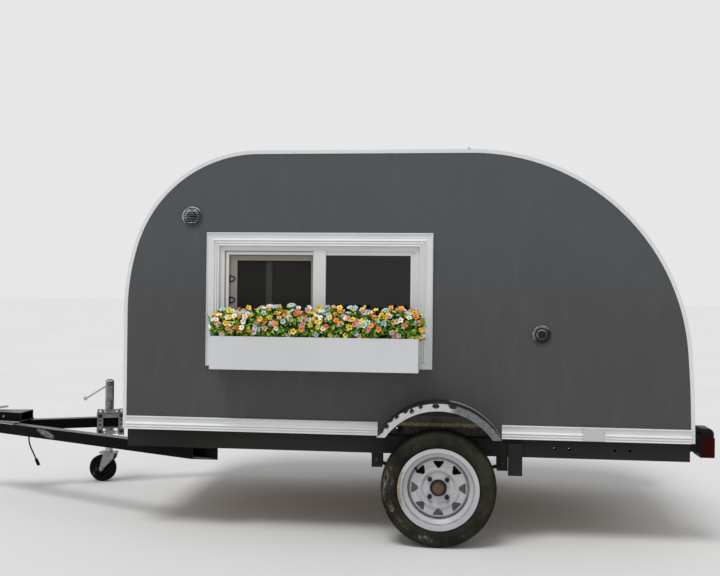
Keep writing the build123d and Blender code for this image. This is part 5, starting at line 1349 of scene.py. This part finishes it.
def random_ways(dice, count):
    """Random unit directions."""
    ways = dice.normal(size=(count, 3))
    return ways / np.linalg.norm(ways, axis=1)[:, None]


# Thickness of the box's boards, stems above the mound and blooms that hang below its belly
BOARD = 0.0185
STEM_COUNT = 26
HANGING_COUNT = 40
# Tiny flowers in a round head, spread by the golden angle, and shoots with pairs of leaves at the box's end
HEAD_COUNT = 34
GOLDEN_ANGLE = 2.39996
SHOOT_COUNT = 9
PAIR_COUNT = 11
# Round heads of tiny flowers: place from the body's front foot, height, kind of flower
UMBELS = [(-0.467, 0.962, 8), (-0.694, 0.976, 4), (-0.764, 0.983, 8), (-1.084, 0.960, 4), (-1.164, 0.966, 8)]


class TRAILER_OT_planting(bpy.types.Operator):
    """Fill the planter with soil, leaves, sprigs and flowers"""
    bl_idname = "trailer.planting"
    bl_label = "Planting"

    def execute(self, context):
        dice = np.random.default_rng(11)
        size = sizes()
        box_low, box_high = low("planter_box"), high("planter_box")
        top = box_high[2]
        tall = high("planting")[2] - top
        middle = (low("planting")[1] + high("planting")[1]) / 2

        # Each edge line comes twice, and the outer one drops below the soil as a skirt
        inner_low, inner_high = box_low + BOARD, box_high - BOARD
        x, y = [np.concatenate([[start], np.linspace(start, end, count), [end]])
                for start, end, count in zip(inner_low, inner_high, (120, 16))]
        x, y = np.meshgrid(x, y, indexing="ij")
        z = top - 0.020 + 0.003 * np.sin(x * 190 + 40 * y) * np.sin(y * 260 + 1) + 0.002 * np.sin(x * 420)
        z[[0, -1]] = z[:, [0, -1]] = top - 0.06
        soil = grid(np.stack([x, y, z], axis=-1))
        piece("soil", [soil], ["soil"], "trailer", angle=50, weld=False)

        # Painted shade: a dark mound in the leaves' darkest tint fills the gaps between them.
        along, turn = np.meshgrid(np.linspace(0, 1, 150), np.linspace(-0.35, 1.35, 20) * np.pi, indexing="ij")
        points, away = mound(along, turn, 0.80, tall)
        lump = 0.006 * np.sin(points[..., 0] * 260 + 3 * points[..., 2] * 90) * np.sin(points[..., 1] * 210)
        shadow_mound = grid(points + lump[..., None] * away, close_v=True, caps=True)

        count = size.leaf_count
        out = 0.78 + 0.30 * np.sqrt(dice.random(count))
        place, away = mound(dice.random(count), dice.uniform(-0.35, 1.35, count) * np.pi, out, tall)
        ways = 0.6 * away + random_ways(dice, count) + np.array([0, 0.1, 0.3])
        shade = dice.choice([0.22, 0.52, 0.82], count, p=[0.36, 0.36, 0.28]) + dice.normal(0, 0.09, count)
        # Painted shade: leaves deeper in the mound are tinted darker.
        shade = shade - 0.25 * np.clip(1.0 - out, 0, 1)
        leaves = stamped(leaf_shape(), place, ways, size.leaf_length * dice.uniform(0.7, 1.35, count),
                         dice.uniform(0, 2 * np.pi, count), np.clip(shade, 0.04, 1))

        # Blooms over the mound, a few below its belly and some on stems above it
        count = size.bloom_count
        share = (np.arange(count) + dice.uniform(-0.8, 0.8, count)) / count
        share = np.clip(share[dice.permutation(count)], 0.004, 0.996)
        lean = dice.uniform(0.04, 0.72, count)
        lean[:HANGING_COUNT] = dice.uniform(-0.28, 0.04, HANGING_COUNT)[:count]
        place, away = mound(share, lean * np.pi, dice.uniform(1.03, 1.16, count), tall)
        ways = away * np.array([1, 1.2, 0.8]) + 0.5 * random_ways(dice, count)
        foot, _ = mound(np.linspace(0.02, 0.98, STEM_COUNT) + dice.uniform(-0.015, 0.015, STEM_COUNT),
                        dice.uniform(0.35, 0.6, STEM_COUNT) * np.pi, np.full(STEM_COUNT, 0.9), tall)
        tip = foot + np.stack([dice.uniform(-0.012, 0.012, STEM_COUNT),
                               dice.uniform(-0.01, 0.012, STEM_COUNT),
                               dice.uniform(0.014, 0.040, STEM_COUNT)], axis=1)
        tip[:, 2] = np.minimum(tip[:, 2], top + tall - 0.006)
        tip_ways = np.array([0, 0.9, 0.5]) + 0.8 * random_ways(dice, STEM_COUNT)
        kinds = dice.choice(len(PETALS), count + STEM_COUNT, p=PETAL_SHARES)
        blooms = stamped(bloom_shape(), np.concatenate([place, tip]), np.concatenate([ways, tip_ways]),
                         size.bloom_width * dice.uniform(0.9, 1.1, count + STEM_COUNT),
                         dice.uniform(0, 6.3, count + STEM_COUNT), kinds / len(PETALS) + 0.004)

        # Round heads: tiny flowers spread over a dome by the golden angle, each on its own ray
        heads, rays = [], [stalks(foot, tip, 0.0008)]
        for x, z, kind in UMBELS:
            crown = np.array([FRONT + x, middle + 0.004, z])
            number = np.arange(HEAD_COUNT)
            polar = np.arccos(1 - (number + 0.5) / HEAD_COUNT * 0.85)
            swing = number * GOLDEN_ANGLE
            level = np.sin(polar)
            way = np.stack([level * np.cos(swing), level * np.sin(swing), np.cos(polar)], axis=1)
            place = crown + way * np.array([0.020, 0.018, 0.015])
            ways = way + 0.3 * random_ways(dice, HEAD_COUNT)
            heads.append(stamped(small_bloom_shape(), place, ways, 0.0085, dice.uniform(0, 6.3, HEAD_COUNT),
                                 kind / len(PETALS) + 0.004))
            hub = crown - np.array([0, 0, 0.022])
            rays.append(stalks(np.repeat(hub[None], HEAD_COUNT, axis=0), place, 0.0004, 0.6))
            rays.append(stalks(hub[None] - np.array([[0.004, 0.002, 0.06]]), hub[None], 0.0010))
        piece("blooms", [blooms] + heads, ["petals", "bloom_eye"], "trailer", angle=60,
              weld=False)

        # Leafy shoots that lean out at the front end of the box
        root = np.array([FRONT - 0.436, middle + 0.026, top + 0.002])
        count = SHOOT_COUNT
        reach = np.stack([dice.uniform(-0.012, 0.030, count), dice.uniform(-0.02, 0.03, count),
                          np.linspace(0.045, 0.098, count)], axis=1)
        feet = root + np.stack([np.linspace(-0.012, 0.010, count), dice.uniform(-0.03, 0.012, count),
                                np.zeros(count)], axis=1)
        tips = feet + reach
        rays.append(stalks(feet, tips, 0.0011))
        pairs = count * PAIR_COUNT
        share = np.tile(np.repeat(np.linspace(0.12, 1.0, PAIR_COUNT), 2), count)
        stem = np.repeat(np.arange(count), 2 * PAIR_COUNT)
        lean = np.stack([share ** 1.6, share ** 1.6, share], axis=1)
        place = feet[stem] + (tips - feet)[stem] * lean
        swing = np.tile([0.0, np.pi], pairs) + np.repeat(np.arange(pairs) * 1.4, 2)
        blade = np.stack([np.cos(swing), np.sin(swing), np.full(2 * pairs, 0.35)], axis=1)
        ways = np.cross(blade, np.cross(Z_AXIS, blade)) + 0.2 * random_ways(dice, 2 * pairs)
        shoots = stamped(leaf_shape(), place, ways, 0.017 * (1.15 - 0.45 * share), swing,
                         dice.random(2 * pairs))
        piece("sprigs", [shoots], ["sprigs"], "trailer", angle=60, weld=False)
        piece("foliage", [shadow_mound, leaves] + rays, ["leaves"], "trailer", ["planting"], 60,
              weld=False)
        return {"FINISHED"}


# The wheels: blocks of tread round the tyre, the rows of points in each, and which rows the slots cut
TREAD_PITCHES = 72
PITCH_SHARES = np.array([0.0, 0.30, 0.34, 0.50, 0.54, 0.80])
SLOT_ROWS = np.array([0, 0, 1, 1, 0, 0])
# How far a zig-zag groove swings
ZIGZAG = 0.0021

# Half of the tyre's section in millimetres, from the middle of the tread: place across, radius, groove share,
# slot share and zig-zag share, and down the side to the bead only the first two
TREAD_COLUMNS = [
    (0, 240.0, 0, 0, 0), (4.6, 240.0, 0, 0, 1), (5.4, 240.0, 1, 0, 1), (10.6, 239.9, 1, 0, 1),
    (11.4, 239.8, 0, 0, 1), (15, 239.6, 0, 0, 0.5), (15.6, 239.6, 0, 0.5, 0.5), (22.4, 239.3, 0, 0.5, -0.5),
    (23, 239.3, 0, 0, -0.5), (26.6, 239.0, 0, 0, -1), (27.4, 239.0, 1, 0, -1), (32.6, 238.6, 1, 0, -1),
    (33.4, 238.5, 0, 0, -1), (39, 238.1, 0, 0, 0), (39.6, 238.0, 0, 1, 0), (46, 237.4, 0, 1, 0),
    (51, 236.6, 0, 0.8, 0), (53.5, 235.8, 0, 0.2, 0)]
SIDE_COLUMNS = [
    (56, 234.2), (59, 231.0), (62, 226.5), (62.9, 225.0), (64.6, 220.0), (65.2, 219.4), (66.2, 214.0),
    (67.3, 206.0), (67.4, 200.0), (66.9, 194.5), (67.3, 193.6), (67.2, 192.2), (66.2, 191.2), (64.4, 186.4),
    (64.6, 185.4), (63.9, 184.4), (61.4, 179.6), (58.6, 175.6), (57.2, 173.4), (54.0, 172.0), (50.2, 171.0),
    (48.2, 168.0), (47.6, 160.0), (47.5, 153.0)]


def tyre_surface(node, depth):
    """Tyre: its section swung round the axle, less the depth where a zig-zag groove or a slot runs."""
    half = np.concatenate([TREAD_COLUMNS, np.pad(SIDE_COLUMNS, ((0, 0), (0, 3)))])
    other = half[:0:-1] * np.array([-1, 1, 1, 1, -1])
    columns = np.concatenate([other, half])
    rows = np.arange(TREAD_PITCHES)[:, None] + PITCH_SHARES[None]
    angle = rows.ravel() * 2 * np.pi / TREAD_PITCHES
    wave = 1 - 4 * np.abs((rows.ravel() % 1.0) - 0.5)
    slot = np.tile(SLOT_ROWS, TREAD_PITCHES)
    across = columns[None, :, 0] / 1000 + wave[:, None] * columns[None, :, 4] * ZIGZAG
    cut = np.maximum(np.broadcast_to(columns[None, :, 2], across.shape), columns[None, :, 3] * slot[:, None])
    radius = columns[None, :, 1] / 1000 - depth * cut
    round_line = [radius * np.sin(angle)[:, None], across, radius * np.cos(angle)[:, None]]
    points = middle_of(node) + np.stack(round_line, axis=-1)
    side = np.clip((np.abs(columns[:, 0]) - 54) / 8, 0, 1) * 0.55
    tint = np.clip(0.15 + 0.8 * cut + side[None], 0, 1)
    return grid(points, close_u=True, close_v=True, tint=tint.ravel())


# The valve: its direction from the axle, its distance from it, and its profile along and out
VALVE_WAY = np.array([0.77, 0, 0.64])
VALVE_RADIUS = 0.1285
VALVE_PROFILE = [(0, 0.0075), (0.004, 0.0072), (0.010, 0.0050), (0.020, 0.0042), (0.021, 0.0032),
                 (0.030, 0.0032), (0.031, 0.0040), (0.038, 0.0040), (0.039, 0.002)]


class TRAILER_OT_wheels(bpy.types.Operator):
    """Put tread on the tyres and valves in the rims"""
    bl_idname = "trailer.wheels"
    bl_label = "Tyres and Valves"

    def execute(self, context):
        for side, sign in (("left", 1), ("right", -1)):
            tyre = tyre_surface("tyre_" + side, sizes().tread_depth)
            piece("tread_" + side, [tyre], ["tyre"], "wheel_" + side, ["tyre_" + side], 34)
            rim = "rim_" + side
            outer = high(rim)[1] if sign > 0 else low(rim)[1]
            way = VALVE_WAY / np.linalg.norm(VALVE_WAY)
            foot = middle_of(rim) + way * VALVE_RADIUS
            foot[1] = outer - sign * RIM_BACK
            stem = turned(VALVE_PROFILE, foot, sign * Y_AXIS - 0.35 * way, 14)
            piece("valve_" + side, [stem], ["gasket"], "wheel_" + side)
        return {"FINISHED"}


# The window and the side
def rounded_run(low_x, high_x, low_z, high_z, radius, steps=12):
    """Places and outward directions round an upright rectangle whose corners are quarter circles."""
    turn = np.linspace(0, np.pi / 2, steps)
    angle = np.concatenate([turn + k * np.pi / 2 for k in range(4)])
    centre_x = np.repeat([high_x - radius, low_x + radius, low_x + radius, high_x - radius], steps)
    centre_z = np.repeat([high_z - radius, high_z - radius, low_z + radius, low_z + radius], steps)
    ways = np.stack([np.cos(angle), np.sin(angle)], axis=1)
    places = np.stack([centre_x, centre_z], axis=1) + radius * ways
    return np.concatenate([places, places[:1]]), np.concatenate([ways, ways[:1]])


def inset_run(node, inset, radius):
    """Rounded run inside the box of an upright flat piece."""
    lo, hi = low(node) + inset, high(node) - inset
    return rounded_run(lo[0], hi[0], lo[2], hi[2], radius)


def ring_on_side(run, y, radius):
    """Round cord laid along a closed run in the plane of the wall."""
    return carried(ring_section(radius), on_side(run[:-1], y), Y_AXIS, closed=True)


# The screen's margins in its frame, at the rear, at the front and above and below; the round spline that
# holds it; and the two pull loops: the heights of their middles and half their own height
SCREEN_MARGINS = (0.0097, 0.0347, 0.0247)
SPLINE_RADIUS = 0.0014
PULL_HEIGHTS = (1.1015, 1.009)
PULL_HALF = 0.0125


class TRAILER_OT_window(bpy.types.Operator):
    """Stretch the insect screen in its frame, with its spline and pull loops"""
    bl_idname = "trailer.window"
    bl_label = "Insect Screen"

    def execute(self, context):
        lo, hi = low("screen_frame"), high("screen_frame")
        x0, x1 = lo[0] + SCREEN_MARGINS[0], hi[0] - SCREEN_MARGINS[1]
        z0, z1 = lo[2] + SCREEN_MARGINS[2], hi[2] - SCREEN_MARGINS[2]
        level = lo[1] + 0.0035
        u, v = np.meshgrid(np.linspace(0, 1, 41), np.linspace(0, 1, 41), indexing="ij")
        slack = 0.0008 * np.sin(np.pi * u) * np.sin(np.pi * v)
        screen = grid(np.stack([x1 + (x0 - x1) * u, level - slack, z0 + (z1 - z0) * v], axis=-1))
        cloth = piece("insect_screen", [screen], ["insect_screen"], "trailer", angle=60,
                      weld=False)

        half = SPLINE_RADIUS
        spline = rounded_run(x0 + half, x1 - half, z0 + half, z1 - half, 0.003, 5)[0]
        cord = ring_on_side(spline, level + 0.0012, half)
        face = hi[1]
        edge = hi[0] - 0.0012
        pulls = []
        for middle in PULL_HEIGHTS:
            turn = np.linspace(-0.5, 0.5, 17) * np.pi
            bow = np.stack([edge - 0.003 - 0.020 * np.cos(turn), middle + PULL_HALF * np.sin(turn)], axis=1)
            ends = np.array([[edge, middle + PULL_HALF], [edge, middle - PULL_HALF]])
            run = np.concatenate([bow, ends])
            pulls.append(carried(ring_section(0.0023), on_side(run, face + 0.0018), Y_AXIS, closed=True))
        piece("screen_spline", [cord] + pulls, ["gasket"], "trailer")
        return {"FINISHED"}


class TRAILER_OT_side(bpy.types.Operator):
    """Cover the joint of the sill moulding"""
    bl_idname = "trailer.side"
    bl_label = "Sill Joint Cover"

    def execute(self, context):
        face = high("sill_mouldings")[1]
        cover = round_box((FRONT - 2.072, face - 0.006, FOOT + 0.0012),
                          (FRONT - 1.984, face + 0.0009, FOOT + 0.0555), 0.0008)
        piece("sill_covers", [cover, cover.mirrored()], ["cover_white"], "trailer")
        return {"FINISHED"}


# The door: how far its casing stands out of the wall, and the round seals at its light
CASING_RISE = 0.012
SEAL_RADIUS = 0.0022


class TRAILER_OT_door(bpy.types.Operator):
    """Screw down the door's casing and handle, and seal its light"""
    bl_idname = "trailer.door"
    bl_label = "Door Screws and Seals"

    def execute(self, context):
        places, _ = spaced(*inset_run("door_frame", 0.022, 0.083), sizes().screw_pitch * 0.8)
        screws = stamped(pan_head(0.0034, 0.0014), on_side(places[:-1], -WALL - CASING_RISE), -Y_AXIS)
        piece("door_frame_screws", [screws], ["trim_white"], "trailer")

        light = "door_light_frame"
        face = low(light)[1]
        seal = ring_on_side(inset_run(light, 0.0175, 0.036)[0], face + SEAL_RADIUS, SEAL_RADIUS)
        rim = ring_on_side(inset_run(light, -0.001, 0.056)[0], -WALL - 0.0006, SEAL_RADIUS)
        places, _ = spaced(*inset_run(light, 0.008, 0.046), 0.11)
        heads = stamped(pan_head(0.0026, 0.001), on_side(places[:-1], face + 0.0002), -Y_AXIS)
        piece("door_light_seals", [seal, rim, heads], ["gasket"], "door")

        lo, hi = low("door_handle"), high("door_handle")
        plate = lo[1] + 0.010
        key = np.array([(lo[0] + hi[0]) / 2, plate, lo[2] + 0.016])
        barrel = turned([(-0.004, 0.0085), (0.0012, 0.0085), (0.0018, 0.0075), (0.0018, 0.0062),
                         (0.0010, 0.0055)], key, -Y_AXIS, 20)
        slot = round_box(key + np.array([-0.0007, -0.0016, -0.0036]), key + np.array([0.0007, 0.001, 0.0036]),
                         0.0003, finish=1)
        corners = [(x, plate, z) for z in (lo[2] + 0.008, hi[2] - 0.008)
                   for x in (lo[0] + 0.008, hi[0] - 0.008)]
        heads = stamped(pan_head(0.0026, 0.0012), corners, -Y_AXIS)
        piece("door_handle_details", [barrel, slot, heads], ["bolt_zinc", "gasket"], "door")
        return {"FINISHED"}


# The chassis: how far the springs' eyes are from the axle, their hangers' half width and depth, and the
# places of the bolts that clamp the springs to the axle, across and along
EYE_REACH = 0.265
HANGER_HALF, HANGER_DEPTH = 0.0235, 0.055
CLAMP_PLACES = (0.553, 0.608)
CLAMP_REACH = 0.0285


class TRAILER_OT_chassis(bpy.types.Operator):
    """Add weld beads, spring bolts, fender bolts and the coupler's bolts"""
    bl_idname = "trailer.chassis"
    bl_label = "Welds and Bolts"

    def execute(self, context):
        rail = low("rails")[2]
        side = high("rails")[1]
        beads = []
        lo, hi = low("rail_posts"), high("rail_posts")
        for x in (lo[0], hi[0]):
            beads.append(weld_bead((x, side, rail + 0.003), (x, side, hi[2]), 0.0030))
        beads.append(weld_bead((lo[0], side, hi[2]), (hi[0], side, hi[2]), 0.0030))
        axle = middle_of("tyre_left")[0]
        outer = high("spring_hangers")[1]
        eyes = (axle - EYE_REACH, axle + EYE_REACH)
        for centre in eyes:
            beads.append(weld_bead((centre - 0.021, outer, rail), (centre + 0.021, outer, rail), 0.0028))
            for x in (centre - HANGER_HALF, centre + HANGER_HALF):
                beads.append(weld_bead((x, outer - HANGER_DEPTH, rail), (x, outer - 0.002, rail), 0.0028))
        beads.append(weld_bead((REAR + 0.020, side - 0.008, rail + 0.040),
                               (REAR + 0.020, side - 0.008, rail + 0.072), 0.0025))
        beads += [bead.mirrored() for bead in beads]
        piece("weld_beads", beads, ["chassis_black"], "trailer", angle=60)

        eye = high("leaf_springs")[2] - 0.014
        nuts = [(x, y, low("axle_beam")[2] + 0.0115) for y in CLAMP_PLACES
                for x in (axle - CLAMP_REACH, axle + CLAMP_REACH)]
        under = stamped(hex_head(0.014, 0.008), nuts, -Z_AXIS)
        ends = stamped(hex_head(0.018, 0.007), [(x, outer - 0.0002, eye) for x in eyes], Y_AXIS, spins=0.4)
        tails = stamped(turned([(0.0, 0.0045), (0.011, 0.0045), (0.012, 0.0035)], steps=12),
                        [(x, outer + 0.0008, eye) for x in eyes], Y_AXIS)
        bolts = [under, ends, tails]
        bolts += [part.mirrored() for part in bolts]
        piece("spring_bolts", bolts, ["bolt_black"], "trailer")

        # Fender flange against the wall: small screws on an arc about the fender's centre
        turn = np.radians(np.linspace(-50, 50, 7))
        reach = FENDER_RADIUS - 0.015
        centre = np.array([axle, high("fenders")[2] - FENDER_RADIUS])
        arc = on_side(centre + reach * np.stack([np.sin(turn), np.cos(turn)], axis=1), WALL + 0.0024)
        heads = stamped(pan_head(0.0042, 0.002), arc, Y_AXIS)
        piece("fender_screws", [heads, heads.mirrored()], ["bolt_black"], "trailer")

        # Coupler: two bolts through each side of its hood, and a bead along the foot of the hood
        out = np.array([0.034, 0.195, 0]) / math.hypot(0.034, 0.195)
        spots = [(FRONT + x, 0.0698 - (x - 0.745) * 0.1744, FOOT - 0.044) for x in (0.842, 0.890)]
        bolts = stamped(hex_head(0.009, 0.005), spots, out, spins=[0.2, 0.7])
        piece("coupler_bolts", [bolts, bolts.mirrored()], ["bolt_zinc"], "trailer")
        bead = weld_bead((FRONT + 0.748, 0.0705, FOOT - 0.070), (FRONT + 0.936, 0.0377, FOOT - 0.070), 0.0028)
        edge = weld_bead((FRONT + 0.765, 0.1095, FOOT - 0.0755),
                         (FRONT + 0.930, 0.0326, FOOT - 0.0755), 0.0026)
        piece("coupler_welds", [bead, edge, bead.mirrored(), edge.mirrored()], ["weld_bright"], "trailer",
              angle=60)
        return {"FINISHED"}


# The jack: how far its arm turns from the middle line, its place on the arm, and its tube's place off the arm
JACK_TURN = math.radians(25.0)
JACK_PLACE = np.array([FRONT + 0.408, -0.27605, 0])
TUBE_OUT = -0.0555


def by_jack(along, out, height):
    """Place set out from the right arm at the jack: along the arm, out from its middle, and up."""
    ahead = np.array([math.cos(JACK_TURN), math.sin(JACK_TURN), 0])
    inward = np.array([-math.sin(JACK_TURN), math.cos(JACK_TURN), 0])
    return JACK_PLACE + ahead * along + inward * out + Z_AXIS * height


class TRAILER_OT_jack(bpy.types.Operator):
    """Add the jack's clamp nuts, its head's bolt and cap, and the caster's nuts"""
    bl_idname = "trailer.jack"
    bl_label = "Jack Hardware"

    def execute(self, context):
        inward = by_jack(0, 1, 0) - by_jack(0, 0, 0)
        outs, ins = [], []
        for along in (-0.055, 0.055):
            for height in (0.287, 0.371):
                outs.append(by_jack(along, -0.0085, height))
                ins.append(by_jack(along, 0.0595, height))
        nuts = [stamped(hex_head(0.016, 0.0085, 0.011), outs, -inward, spins=[0.2, 0.5, 0.9, 0.1]),
                stamped(hex_head(0.016, 0.0085, 0.011), ins, inward, spins=[0.4, 0.1, 0.6, 0.8])]
        piece("jack_clamp_nuts", nuts, ["bolt_black"], "trailer")

        bolt = stamped(hex_head(0.009, 0.006), [by_jack(0.001, -0.0295, 0.5335)], inward, spins=0.3, finish=1)
        collar = stamped(turned([(-0.002, 0.0105), (0.0012, 0.0105), (0.0022, 0.0096)], steps=24),
                         [by_jack(0.001, -0.0305, 0.5335)], inward)
        top = stamped(turned([(-0.002, 0.0145), (0.0022, 0.0145), (0.0032, 0.013), (0.0036, 0.0)], steps=28),
                      [by_jack(0.0, TUBE_OUT, 0.5525)], Z_AXIS)
        rim = turned([(0.0, 0.0236), (0.0, 0.0248), (0.004, 0.0250), (0.008, 0.0248), (0.008, 0.0236)],
                     by_jack(0, TUBE_OUT, 0.267), Z_AXIS, 40)
        piece("jack_details", [bolt, collar, top, rim], ["bolt_black", "bolt_zinc"], "jack")

        lo, hi = low("caster_fork"), high("caster_fork")
        middle = middle_of("caster_wheel")
        ends = [(middle[0], y, middle[2]) for y in (lo[1] + 0.0035, hi[1] - 0.0035)]
        nuts = stamped(hex_head(0.017, 0.007, 0.011), ends, [(0, -1, 0), (0, 1, 0)], spins=[0.3, 0.6])
        piece("caster_nuts", [nuts], ["bolt_zinc"], "caster")
        return {"FINISHED"}


# The tail lamps
class TRAILER_OT_lamps(bpy.types.Operator):
    """Screw the lenses to their housings"""
    bl_idname = "trailer.lamps"
    bl_label = "Lamp Screws"

    def execute(self, context):
        lo, hi = low("lamp_lenses"), high("lamp_lenses")
        spots = [(lo[0] + 0.0001, hi[1] - inset, z) for z in (lo[2] + 0.014, hi[2] - 0.014)
                 for inset in (0.016, 0.102)]
        heads = stamped(pan_head(0.003, 0.0013), spots, -X_AXIS)
        piece("lamp_screws", [heads, heads.mirrored()], ["bolt_zinc"], "trailer")
        return {"FINISHED"}


class TRAILER_PT_dressing(bpy.types.Panel):
    """Lists the steps that dress the trailer"""
    bl_idname = "TRAILER_PT_dressing"
    bl_label = "Teardrop Trailer"
    bl_space_type = "VIEW_3D"
    bl_region_type = "UI"
    bl_category = "Trailer"

    def draw(self, context):
        layout = self.layout
        for group in ("trailer_stage", "trailer_paints", "trailer_sizes"):
            settings = getattr(context.scene, group)
            box = layout.box()
            for name in settings.__annotations__:
                box.prop(settings, name)
        for step in STEPS:
            layout.operator(step.bl_idname)


STEPS = (TRAILER_OT_stage, TRAILER_OT_lead, TRAILER_OT_finishes, TRAILER_OT_trims, TRAILER_OT_window,
         TRAILER_OT_side, TRAILER_OT_planting, TRAILER_OT_wheels, TRAILER_OT_door, TRAILER_OT_chassis,
         TRAILER_OT_jack, TRAILER_OT_lamps)
GROUPS_OF_SETTINGS = {"trailer_stage": TrailerStage, "trailer_paints": TrailerPaints,
                      "trailer_sizes": TrailerSizes}


def register():
    """Add the settings, the steps and the panel."""
    for kind in (*GROUPS_OF_SETTINGS.values(), *STEPS, TRAILER_PT_dressing):
        bpy.utils.register_class(kind)
    for name, kind in GROUPS_OF_SETTINGS.items():
        setattr(bpy.types.Scene, name, bpy.props.PointerProperty(type=kind))


def unregister():
    """Take off the panel, the steps and the settings."""
    for name in GROUPS_OF_SETTINGS:
        delattr(bpy.types.Scene, name)
    for kind in reversed((*GROUPS_OF_SETTINGS.values(), *STEPS, TRAILER_PT_dressing)):
        bpy.utils.unregister_class(kind)


def main():
    """Register the settings, steps and panel, then run every step in order."""
    register()
    for step in STEPS:
        group, name = step.bl_idname.split(".")
        getattr(getattr(bpy.ops, group), name)()


if __name__ == "__main__":
    main()
